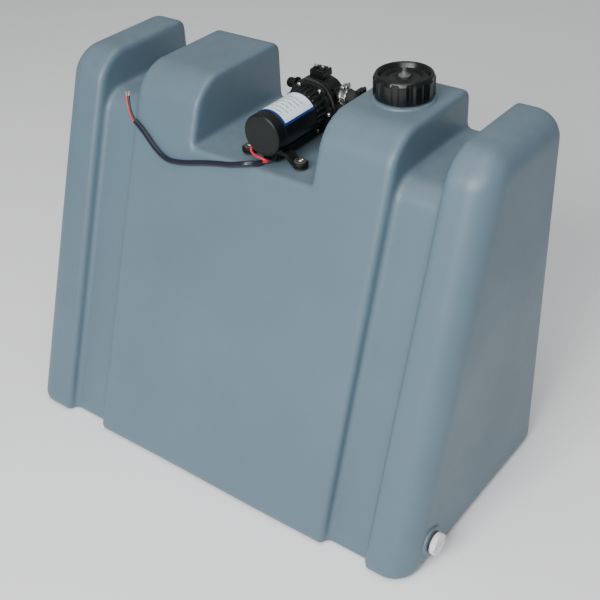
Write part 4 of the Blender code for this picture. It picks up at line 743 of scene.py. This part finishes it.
dress(lathe("crankcase_ribbed", raised(
    CRANK_Y[0], (0.0226, 0), (MOTOR_OUT, 0), (MOTOR_OUT, 0.0005), (MOTOR_OUT, 0.0015)) + raised(
    FLANGE_Y, (MOTOR_OUT, -0.0003), (0.0262, 0), (0.0309, 0), (0.0314, 0.0005)) + raised(
    CRANK_Y[1], (0.0314, -0.0004), (0.0311, 0), (0.0226, 0)), PUMP_AXIS, "Y", steps=384,
    round_off=0,
    ripple=lambda a, r, h: ribs(a, r, h) + lobes(a, r, 0.0021, 0.0305)),
    "pump_plastic", "crankcase")

# %% [markdown]
# ## The pump head
# The head is a cup bolted on with six screws. Its rim has a round boss at each screw, its two
# sides and its top are cut flat where the ports and the pressure switch seat, and its back is
# domed. The screws are turned pan heads with a cross pressed into each.

# %% Head
HEAD_FLAT = 0.0312


def flats(points):
    """Hold x and the top to a flat distance from the axis."""
    x = np.clip(points[..., 0] - PUMP_AXIS[0], -HEAD_FLAT, HEAD_FLAT)
    z = np.minimum(points[..., 2] - PUMP_AXIS[2], HEAD_FLAT - 0.0002)
    points[..., 0], points[..., 2] = PUMP_AXIS[0] + x, PUMP_AXIS[2] + z
    return points


dress(lathe("head", raised(
    HEAD_Y[0], (0.0245, 0), (0.0306, 0), (0.0309, 0.0004), (0.0309, 0.0100), (0.0305, 0.0106),
    (0.0292, 0.0110), (0.0290, 0.0120)) + raised(
    HEAD_Y[1], (0.0290, -0.0080), (0.0280, -0.0040), (0.0255, -0.0012), (0.0220, -0.0002),
    (0.0150, 0), (0.0140, -0.0008), (0.0125, -0.0008), (0.0115, 0), (0, 0), (0, -0.0045),
    (0.0200, -0.0045), (0.0245, -0.0090)), PUMP_AXIS, "Y", steps=240, round_off=0,
    ripple=lambda a, r, h: lobes(a, r, 0.0026, 0.0285), shape=flats),
    "pump_plastic", "pump_head")

CROSS_HALF = 0.00042            # half of the width of one arm of the recess


def pan_screw(name, node, at, facing, radius, rise, shank, shank_radius):
    """A steel pan head with a cross recess: a dome on a shank, its heights along the facing."""
    first, second, along = arrows(facing)
    at = np.asarray(at, float)

    def press(points):
        """Sink the points near the top that lie within either arm of the cross."""
        local = points - at
        across, up = local @ first, local @ second
        inside = np.minimum(np.maximum(np.abs(across) / CROSS_HALF, np.abs(up) / (0.6 * radius)),
                            np.maximum(np.abs(up) / CROSS_HALF, np.abs(across) / (0.6 * radius)))
        deep = 0.4 * rise * ramp(-inside, -1.5, -1.0) * (local @ along > 0.55 * rise)
        return points - deep[..., None] * along

    share = np.linspace(0, 1, 13)[1:]
    dome = [(radius * s, rise * (1 - 0.55 * s ** 3)) for s in share]
    made = lathe(name, [(0, rise)] + dome + [(radius, 0), (shank_radius, 0),
                 (shank_radius, -shank), (0, -shank)], at, facing, steps=48, round_off=0,
                 shape=press)
    return dress(made, "steel", node)


SCREW_CIRCLE = 0.0300
for number, turn in enumerate(SCREW_TURNS, 1):
    spot = PUMP_AXIS + np.array((SCREW_CIRCLE * sin(turn), FLANGE_Y - 0.0003,
                                 SCREW_CIRCLE * cos(turn)))
    pan_screw(f"head_bolt_{number}", f"head_screw_{number}", spot, "-Y", radius=0.0026,
              rise=0.0024, shank=0.0250, shank_radius=0.0013)

# %% [markdown]
# ## Ports, hose and clips
# The inlet and the outlet are barbs: a sealing flange and a tail of cones, each steep towards
# the pump so the hose can't slide back. The short hose is held on the inlet by a worm clip, a
# band with slots pressed into it and a housing that carries the screw.

# %% Ports and hose
PORT_AT = np.array((PUMP_AXIS[0], PORT_AXIS[1], PORT_AXIS[2]))
HOSE_X = span("suction_hose", 0)
BARB_START, BARB_TAIL = 0.0318, 0.0115


def barb_profile(start, tail):
    """Flange, then three cones that swell towards the pump and drop off in a small step."""
    shape = [(0.0027, start - 0.0045), (0.0042, start - 0.0045), (0.0042, start),
             (0.0085, start), (0.0085, start + 0.0020), (0.0056, start + 0.0020)]
    for step in range(3):
        foot = start + 0.0020 + tail * (0.10 + 0.30 * step)
        shape += [(0.0056, foot), (0.0065, foot + 0.0002), (0.0056, foot + 0.27 * tail)]
    return shape + [(0.0053, start + 0.0020 + tail), (0.0027, start + 0.0020 + tail)]


for word, facing in (("inlet", "X"), ("outlet", "-X")):
    dress(lathe(f"{word}_port", barb_profile(BARB_START, BARB_TAIL), PORT_AT, facing, steps=64,
                round_off=0.00015), "pump_plastic", f"{word}_barb")


def hose_squeeze(angle, radius, height):
    """Fine lengthwise lines on the hose, and a waist where each clip grips it."""
    lines = 0.00008 * np.cos(60 * angle) * (radius > 0.0090)
    return lines - 0.0004 * sum(np.exp(-((height - middle("hose_clip_" + word)[0]) / 0.0035) ** 2)
                                for word in ("pump", "tank")) * (radius > 0.0090)


hose_section = ([(0.0068, HOSE_X[1]), (0.0068, HOSE_X[0]), (0.0090, HOSE_X[0]),
                 (0.0095, HOSE_X[0] + 0.0005)]
                + stretch((0.0095, HOSE_X[0] + 0.0005), (0.0095, HOSE_X[1] - 0.0005), 44)
                + [(0.0095, HOSE_X[1] - 0.0005), (0.0090, HOSE_X[1])])
dress(lathe("hose", hose_section, PORT_AXIS, "X", steps=240, ripple=hose_squeeze, round_off=0),
      "hose_rubber", "suction_hose")
BAND_SLOTS, SLOT_SINK, SLOT_HALF = 32, 0.0005, 0.0029


def band_slots(low, high):
    """A ripple that sinks wherever a cosine round the band is high, off its two edges."""
    def sunk(angle, radius, height):
        """The depth of a slot inside one, else 0."""
        in_band = (np.abs(height - (low + high) / 2) < SLOT_HALF) & (radius > 0.0107)
        return -SLOT_SINK * (np.cos(BAND_SLOTS * angle) > 0.35) * in_band
    return sunk


for word, slot in (("pump", "steel"), ("tank", "can_paint")):
    low, high = span("hose_clip_" + word, 0)
    band = stretch((0.0108, low), (0.0108, high), 9)
    clip = lathe(f"clip_band_{word}",
                 [(0.0099, high), (0.0099, low), (0.0106, low)] + band + [(0.0106, high)],
                 PORT_AXIS, "X", steps=256, round_off=0, ripple=band_slots(low, high))
    dress(clip, slot, f"hose_clip_{word}")
    top = PORT_AXIS[2] + 0.0104
    dress(block(f"clip_housing_{word}", (low + 0.0008, PORT_AXIS[1] - 0.0050, top),
                (high - 0.0008, PORT_AXIS[1] + 0.0050, top + 0.0046), bevel=0.0010, segments=3),
          slot, f"hose_clip_{word}")
    worm = lathe(f"clip_screw_{word}",
                 [(0, -0.0072), (0.0022, -0.0072), (0.0022, 0.0058), (0.0034, 0.0058),
                  (0.0034, 0.0086), (0.0030, 0.0090), (0, 0.0090)],
                 ((low + high) / 2, PORT_AXIS[1], top + 0.0030), "-Y", steps=6, round_off=0.0003)
    dress(worm, slot, f"hose_clip_{word}")

FITTING = span("tank_fitting", 0)
NOTCH_WALL = NOTCH_MIDDLE + NOTCH_HALF
dress(lathe("wall_fitting", [
    (0.0041, FITTING[1]), (0.0065, FITTING[1]), (0.0065, NOTCH_WALL - 0.0028),
    (0.0140, NOTCH_WALL - 0.0028), (0.0140, NOTCH_WALL - 0.0058), (0.0056, NOTCH_WALL - 0.0058),
    (0.0065, FITTING[0] + 0.0038),
    (0.0056, FITTING[0] + 0.0036), (0.0053, FITTING[0]), (0.0041, FITTING[0])],
    PORT_AXIS, "X", steps=96, round_off=0.0003,
    ripple=lambda a, r, h: (r > 0.0130) * -0.0010 * ramp(np.abs(np.cos(3 * a)), 0.6, 1.0)),
    "pump_plastic", "tank_fitting")

# %% [markdown]
# ## The pump's base and feet
# A keel runs under the motor. From it two pairs of arms reach out and down to the feet; each
# is a channel, a flat web with a raised edge on both sides, swept along a curve. Each foot is a
# ring round a rubber grommet, with a screw down through its middle.

# %% Base


def smooth_path(points, per_step=8):
    """A Catmull-Rom curve: each stretch between two points leans on the points either side."""
    points = np.asarray(points, float)
    padded = np.vstack([2 * points[0] - points[1], points, 2 * points[-1] - points[-2]])
    share = np.linspace(0, 1, per_step, endpoint=False)[:, None]
    parts = []
    for a, b, c, d in zip(padded, padded[1:], padded[2:], padded[3:]):
        parts.append(0.5 * (2 * b + (c - a) * share + (2 * a - 5 * b + 4 * c - d) * share ** 2
                            + (3 * b - a - 3 * c + d) * share ** 3))
    return np.vstack(parts + [points[-1:]])


def sweep(name, path, section, upward, body="tank"):
    """Carry a closed (sideways, up) section along a path and fill both ends.

    section is (m, 2), or (n, m, 2) for one section at each point of the path.
    """
    path, section = np.asarray(path, float), np.asarray(section, float)
    if section.ndim == 2:
        section = np.repeat(section[None], len(path), axis=0)
    ahead = np.gradient(path, axis=0)
    ahead /= np.linalg.norm(ahead, axis=1)[:, None]
    upward = np.broadcast_to(np.asarray(upward, float), path.shape)
    side = np.cross(ahead, upward)
    side /= np.linalg.norm(side, axis=1)[:, None]
    up = np.cross(side, ahead)
    points = (path[:, None] + section[..., :1] * side[:, None] + section[..., 1:] * up[:, None])
    return closed_grid(name, points, body, wrap_rows=False)


FEET = [middle(f"foot_grommet_{number}") for number in (1, 2, 3, 4)]
keel_path = np.array([(PUMP_AXIS[0], y, NOTCH_FLOOR) for y in (
    FEET[0][1] - 0.0095, FEET[2][1] + 0.0095)])
cradle = [(0.0190, 0.0226), (0.0145, 0.0195), (0.0100, 0.0172), (0.0050, 0.0157), (0, 0.0152),
          (-0.0050, 0.0157), (-0.0100, 0.0172), (-0.0145, 0.0195), (-0.0190, 0.0226),
          (-0.0196, 0.0212), (-0.0150, 0.0170), (-0.0105, 0.0140), (-0.0095, 0.0045),
          (0.0095, 0.0045), (0.0105, 0.0140), (0.0150, 0.0170), (0.0196, 0.0212)]
dress(sweep("base_keel", np.linspace(keel_path[0], keel_path[1], 30), cradle, (0, 0, 1)),
      "pump_plastic", "pump_base")
channel = np.array([(-0.0066, 0.0030), (-0.0066, -0.0016), (0.0066, -0.0016), (0.0066, 0.0030),
                    (0.0050, 0.0030), (0.0046, 0.0012), (-0.0046, 0.0012), (-0.0050, 0.0030)])
for number, foot in enumerate(FEET, 1):
    out_way = 1 if foot[0] > PUMP_AXIS[0] else -1
    reach = [(0.0060, 0.0110), (0.0150, 0.0145), (0.0215, 0.0140), (0.0270, 0.0088),
             (0.0310, 0.0058), (0.0345, 0.0050)]
    line = smooth_path([(PUMP_AXIS[0] + out_way * out, foot[1], NOTCH_FLOOR + up)
                        for out, up in reach])
    dress(sweep(f"base_arm_{number}", line, channel, (0, 0, 1)), "pump_plastic", "pump_base")
    place = (foot[0], foot[1], NOTCH_FLOOR)
    dress(lathe(f"base_ring_{number}", [
        (0.0053, 0.0030), (0.0091, 0.0030), (0.0095, 0.0034), (0.0095, 0.0078), (0.0091, 0.0084),
        (0.0083, 0.0084), (0.0080, 0.0076), (0.0053, 0.0074)], place, steps=64,
        round_off=0.0002), "pump_plastic", "pump_base")
    dress(lathe(f"grommet_{number}", [
        (0.0024, 0.0003), (0.0074, 0.0003), (0.0078, 0.0012), (0.0074, 0.0026), (0.0050, 0.0028),
        (0.0050, 0.0079), (0.0073, 0.0080), (0.0076, 0.0092), (0.0070, 0.0103),
        (0.0050, 0.0105), (0.0044, 0.0099), (0.0024, 0.0099)], place, steps=64,
        round_off=0.0003), "rubber", f"foot_grommet_{number}")
    pan_screw(f"foot_bolt_{number}", f"foot_screw_{number}", np.array(place) + (0, 0, 0.0102),
              "Z", radius=0.0044, rise=0.0024, shank=0.0180, shank_radius=0.0018)

# %% [markdown]
# ## Label
# The label is a thin sheet wrapped on the can. Its colour comes from its own UV: u runs round
# the can and v along it. A blue border and grey bars of uneven length stand for print. A
# picture could carry them too, but a few comparisons of u and v stay sharp at any size.

# %% Label
LABEL_Y = span("motor_label", 1)
LABEL_FROM, LABEL_TO = radians(26), radians(158)
PRINT_ROWS, BAR_SHARE, PRINT_STRENGTH = 8.0, 0.34, 0.85
BORDER_START, BORDER_SIDE, BORDER_END = 0.055, 0.050, 0.985


def between(tree, value, low, high):
    """1 where low < value < high, else 0."""
    return math_node(tree, "MULTIPLY", math_node(tree, "GREATER_THAN", value, low),
                     math_node(tree, "LESS_THAN", value, high))


def label_finish():
    """White, then bars where v repeats and a noise lets them through, then the blue border."""
    made = finish("label_print", (0.78, 0.89, 0.90), 0.30, second=(0.74, 0.86, 0.89), dust=0.03)
    tree = made.node_tree
    shader = tree.nodes["Principled BSDF"]
    base = shader.inputs["Base Color"].links[0].from_socket
    uv = tree.nodes.new("ShaderNodeUVMap")
    uv.uv_map = "along"
    split = tree.nodes.new("ShaderNodeSeparateXYZ")
    tree.links.new(uv.outputs["UV"], split.inputs[0])
    u, v = split.outputs["X"], split.outputs["Y"]
    row = math_node(tree, "FRACT", math_node(tree, "MULTIPLY", v, PRINT_ROWS))
    stripe = math_node(tree, "LESS_THAN", row, BAR_SHARE)
    breaks = math_node(tree, "GREATER_THAN", noise(tree, uv.outputs["UV"], 17.0, 1.0), 0.42)
    inner = math_node(tree, "MULTIPLY", between(tree, u, 0.20, 0.84), between(tree, v, 0.12, 0.86))
    mask = math_node(tree, "MULTIPLY", math_node(tree, "MULTIPLY", stripe, breaks), inner)
    printed = mix_colour(tree, math_node(tree, "MULTIPLY", mask, PRINT_STRENGTH), base,
                         (0.26, 0.30, 0.34, 1))
    edge = math_node(tree, "MAXIMUM", math_node(tree, "LESS_THAN", v, BORDER_START),
                     math_node(tree, "LESS_THAN", u, BORDER_SIDE))
    edge = math_node(tree, "MAXIMUM", edge, math_node(tree, "GREATER_THAN", v, BORDER_END))
    bordered = mix_colour(tree, edge, printed, (0.010, 0.030, 0.200, 1))
    tree.links.new(bordered, shader.inputs["Base Color"])
    return made


def label_mesh():
    """A grid round the can on two radii: x = r cos, z = r sin, y along, with its own UV."""
    turn = np.linspace(LABEL_FROM, LABEL_TO, 60)
    along = np.linspace(LABEL_Y[0], LABEL_Y[1], 24)
    t, y = np.meshgrid(turn, along, indexing="ij")
    sheet = []
    for radius in (MOTOR_OUT + 0.00035, MOTOR_OUT + 0.00008):
        sheet.append(np.stack([PUMP_AXIS[0] + radius * np.cos(t), y,
                               PUMP_AXIS[2] + radius * np.sin(t)], axis=-1).reshape(-1, 3))
    uv = np.stack([(t - LABEL_FROM) / (LABEL_TO - LABEL_FROM),
                   (y - LABEL_Y[0]) / (LABEL_Y[1] - LABEL_Y[0])], axis=-1).reshape(-1, 2)
    count, wide = t.size, t.shape[1]
    top = grid_faces(t.shape[0], wide, wrap_columns=False)
    rim = np.concatenate([np.arange(wide), np.arange(2 * wide - 1, count, wide),
                          np.arange(count - 2, count - wide - 1, -1),
                          np.arange(count - 2 * wide, 0, -wide)])
    side = np.stack([rim, np.roll(rim, -1), np.roll(rim, -1) + count, rim + count], axis=1)
    faces = np.concatenate([top[:, ::-1], top + count, side])
    mesh = mesh_of("label", np.concatenate(sheet), faces)
    layer = mesh.uv_layers.new(name="along")
    corner = np.empty(len(mesh.loops), np.int32)
    mesh.loops.foreach_get("vertex_index", corner)
    layer.data.foreach_set("uv", np.tile(uv, (2, 1))[corner].ravel())
    return mesh


label = piece_of("label", label_mesh())
label.data.materials.append(label_finish())
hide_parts("motor_label")

# %% [markdown]
# ## Pressure switch
# A small box on the head's flat top, with a lid, two screws and two shrouded spade terminals.
# It cuts the motor when the pressure rises. The real one is a plain moulded box, so bevelled
# blocks are enough. Its spring keeps its coils and is given a mesh of its own.

# %% Switch
SWITCH_LOW, SWITCH_HIGH = (np.array(corner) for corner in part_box("switch_cap"))
LID_TOP = SWITCH_LOW[2] + 0.0016
dress(block("switch_lid", SWITCH_LOW, (SWITCH_HIGH[0], SWITCH_HIGH[1], LID_TOP), bevel=0.0006),
      "pump_plastic", "switch_cap")
lid_middle = (SWITCH_LOW + SWITCH_HIGH) / 2
for word, way in (("left", -1), ("right", 1)):
    x, y = lid_middle[0] + way * 0.0050, lid_middle[1] - 0.0030
    dress(block(f"switch_shroud_{word}", (x - 0.0026, y - 0.0034, LID_TOP - 0.0004),
                (x + 0.0026, y + 0.0034, LID_TOP + 0.0022), bevel=0.0005), "pump_plastic",
          "switch_cap")
    dress(block(f"switch_spade_{word}", (x - 0.0020, y - 0.0004, LID_TOP + 0.0018),
                (x + 0.0020, y + 0.0004, LID_TOP + 0.0054), bevel=0.0002), "steel",
          "switch_cap")
for number, way in enumerate((-1, 1), 1):
    pan_screw(f"switch_screw_{number}", "switch_cap",
              (lid_middle[0] + way * 0.0075, lid_middle[1] + 0.0062, LID_TOP), "Z",
              radius=0.0014, rise=0.0009, shank=0.0010, shank_radius=0.0007)

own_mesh(frame["nodes"]["switch_spring"])

# %% [markdown]
# ## Supply cable
# The cable is a flat twin: two round wires side by side in one sheath, so its section is a
# waisted oval. It leaves from under the motor, drops over the notch's front edge and lies along
# the sloping front, then climbs and ends in two cores with bare copper ends. Its route is a row
# of points: x, rise above the notch floor, and distance off the sloping front. It could be
# dropped by a simulation, but a stiff short cable keeps the way it was bent, so it's drawn.

# %% Cable
SHEATH_ROUTE = [
    (0.0160, 0.0070, -0.0100), (0.0130, 0.0055, -0.0050), (0.0085, 0.0048, 0.0005),
    (0.0020, 0.0030, 0.0040), (-0.0080, 0.0000, 0.0044), (-0.0220, -0.0036, 0.0040),
    (-0.0416, -0.0070, 0.0040), (-0.0647, -0.0118, 0.0040), (-0.0820, -0.0160, 0.0040),
    (-0.0962, -0.0188, 0.0040), (-0.1080, -0.0204, 0.0040), (-0.1180, -0.0203, 0.0040),
    (-0.1303, -0.0167, 0.0040), (-0.1454, -0.0083, 0.0040), (-0.1560, -0.0010, 0.0040),
    (-0.1629, 0.0034, 0.0040), (-0.1710, 0.0080, 0.0040), (-0.1783, 0.0120, 0.0042)]
CORE_ROUTE = [
    (-0.1783, 0.0120, 0.0042), (-0.1830, 0.0158, 0.0044), (-0.1865, 0.0199, 0.0044),
    (-0.1900, 0.0248, 0.0044), (-0.1927, 0.0306, 0.0044), (-0.1949, 0.0369, 0.0042),
    (-0.1969, 0.0434, 0.0042)]
OFF_SLOPE = np.array((0, -1, SLOPE)) / np.sqrt(1 + SLOPE ** 2)
SHEATH_RADIUS, CORE_RADIUS, STRAND_RADIUS, LEAD_RADIUS = 0.0032, 0.0013, 0.00019, 0.0015
STRANDS, STRAND_CIRCLE, STRAND_FAN = 7, 0.00042, 0.0005       # six strands round a middle one


def unit(vector):
    """The vector over its own length."""
    return vector / np.linalg.norm(vector)


def on_slope(route):
    """Points on the sloping front at each rise, moved off it by each distance."""
    x, rise, off = np.array(route).T
    height = NOTCH_FLOOR + rise
    place = np.stack([x, -HALF_DEPTH + SLOPE * height, height], axis=1)
    return place + off[:, None] * OFF_SLOPE


def round_section(radius, steps=20):
    """A circle of (sideways, up) points."""
    turn = np.linspace(0, 2 * pi, steps, endpoint=False)
    return radius * np.stack([np.cos(turn), np.sin(turn)], axis=1)


def twin_section(radius, steps=40):
    """Two wires in one sheath: wider than tall, with a waist between them."""
    turn = np.linspace(0, 2 * pi, steps, endpoint=False)
    waist = 1 - 0.16 * np.sin(turn) ** 8
    return np.stack([1.08 * radius * np.cos(turn), 0.86 * radius * np.sin(turn) * waist], axis=1)


def add_core(word, way):
    """One core, which starts inside the sheath and parts from its twin, and its bare strands."""
    slopeways = np.cross(np.gradient(core_path, axis=0), OFF_SLOPE)
    slopeways /= np.linalg.norm(slopeways, axis=1)[:, None]
    apart = (CORE_RADIUS + 0.0003) * (1 + 0.6 * np.linspace(0, 1, len(core_path)) ** 2)
    lift = 0.0006 * np.sin(np.linspace(0, pi, len(core_path)))
    line = core_path + way * (apart[:, None] * slopeways + lift[:, None] * OFF_SLOPE)
    line = np.vstack([line[0] - 0.0040 * unit(line[1] - line[0]), line[:-8]])
    pieces = [dress(sweep(f"wire_{word}", line, round_section(CORE_RADIUS), OFF_SLOPE),
                    f"core_{word}", f"core_{word}")]
    ahead = unit(line[-1] - line[-4])
    side = np.cross(ahead, OFF_SLOPE)
    share = np.linspace(0, 1, 8)[:, None]
    for strand in range(STRANDS):
        turn = 2 * pi * strand / (STRANDS - 1)
        outward = (strand < STRANDS - 1) * (cos(turn) * side + sin(turn) * OFF_SLOPE)
        length = 0.0052 + 0.0006 * sin(5 * strand)
        wire = (line[-1] + STRAND_CIRCLE * outward + share * length * ahead
                + STRAND_FAN * share ** 2 * outward)
        pieces.append(dress(sweep(f"strand_{word}_{strand}", wire,
                                  round_section(STRAND_RADIUS, 8), OFF_SLOPE),
                            "copper", f"core_{word}"))
    return pieces


sheath_path = smooth_path(on_slope(SHEATH_ROUTE), 10)
core_path = smooth_path(on_slope(CORE_ROUTE), 10)
sheath = dress(sweep("sheath", sheath_path, twin_section(SHEATH_RADIUS), OFF_SLOPE),
               "cable_pvc", "cable_sheath")
cable_pieces = add_core("red", -1) + add_core("black", 1)

# %% Red lead
LEAD_TURN, LEAD_OUT = radians(225), 0.0252      # where the lead leaves the end cap
LEAD_STEPS = [(0, 0, 0), (-0.0022, -0.0006, -0.0036), (-0.0015, -0.0018, -0.0078),
              (0.0034, -0.0034, -0.0102), (0.0110, -0.0042, -0.0112),
              (0.0185, -0.0030, -0.0132), (0.0205, 0.0012, -0.0166)]


lead_exit = PUMP_AXIS + (LEAD_OUT * cos(LEAD_TURN), CAP_Y + 0.0050, LEAD_OUT * sin(LEAD_TURN))
lead_end = sheath_path[0] + 0.0016 * unit(sheath_path[0] - sheath_path[4])
lead_path = smooth_path(np.vstack([lead_exit + np.array(LEAD_STEPS), lead_end]), 8)
cable_pieces.append(dress(sweep("red_lead", lead_path, round_section(LEAD_RADIUS), (0, 0, 1)),
                          "core_red", "lead_red"))

# %% [markdown]
# ## Floor and light
# A pale floor catches a soft shadow. One broad lamp in front makes the front brighter than the
# side, a weaker one above picks out the tops, a small one on the right fills the side, and the
# room itself is near white.

# %% Floor and light


def soft_lamp(name, place, aim, size, power):
    """A square area lamp at a place, its -Z turned towards the aim."""
    light = bpy.data.lights.new(name, "AREA")
    light.size, light.energy = size, power
    made = bpy.data.objects.new(name, light)
    made.location = place
    made.rotation_euler = (Vector(aim) - Vector(place)).to_track_quat("-Z", "Y").to_euler()
    bpy.context.scene.collection.objects.link(made)


FLOOR_REACH, FLOOR_TOP = 40, -0.001
floor_corners = [(x, y, FLOOR_TOP) for x, y in ((-FLOOR_REACH, -FLOOR_REACH),
                 (FLOOR_REACH, -FLOOR_REACH), (FLOOR_REACH, FLOOR_REACH),
                 (-FLOOR_REACH, FLOOR_REACH))]
floor_mesh = mesh_of("floor", floor_corners, [(0, 1, 2, 3)])
floor_finish = bpy.data.materials.new("floor")
floor_finish.use_nodes = True
floor_shader = floor_finish.node_tree.nodes["Principled BSDF"]
floor_shader.inputs["Base Color"].default_value = (0.95, 0.95, 0.95, 1)
floor_shader.inputs["Roughness"].default_value = 0.9
floor_mesh.materials.append(floor_finish)
floor = bpy.data.objects.new("floor", floor_mesh)
bpy.context.scene.collection.objects.link(floor)

soft_lamp("front_lamp", (0.2, -2.8, 2.0), (0, 0, 0.25), size=1.6, power=105)
soft_lamp("top_lamp", (0.2, -0.3, 2.9), (0, 0, 0.4), size=1.8, power=26)
soft_lamp("fill_lamp", (1.0, -1.3, 1.5), (0, 0, 0.35), size=0.9, power=15)
world = bpy.data.worlds.new("room")
world.use_nodes = True
room_light = world.node_tree.nodes["Background"]
room_light.inputs["Color"].default_value = (0.93, 0.96, 1.0, 1)
room_light.inputs["Strength"].default_value = 0.30
bpy.context.scene.world = world
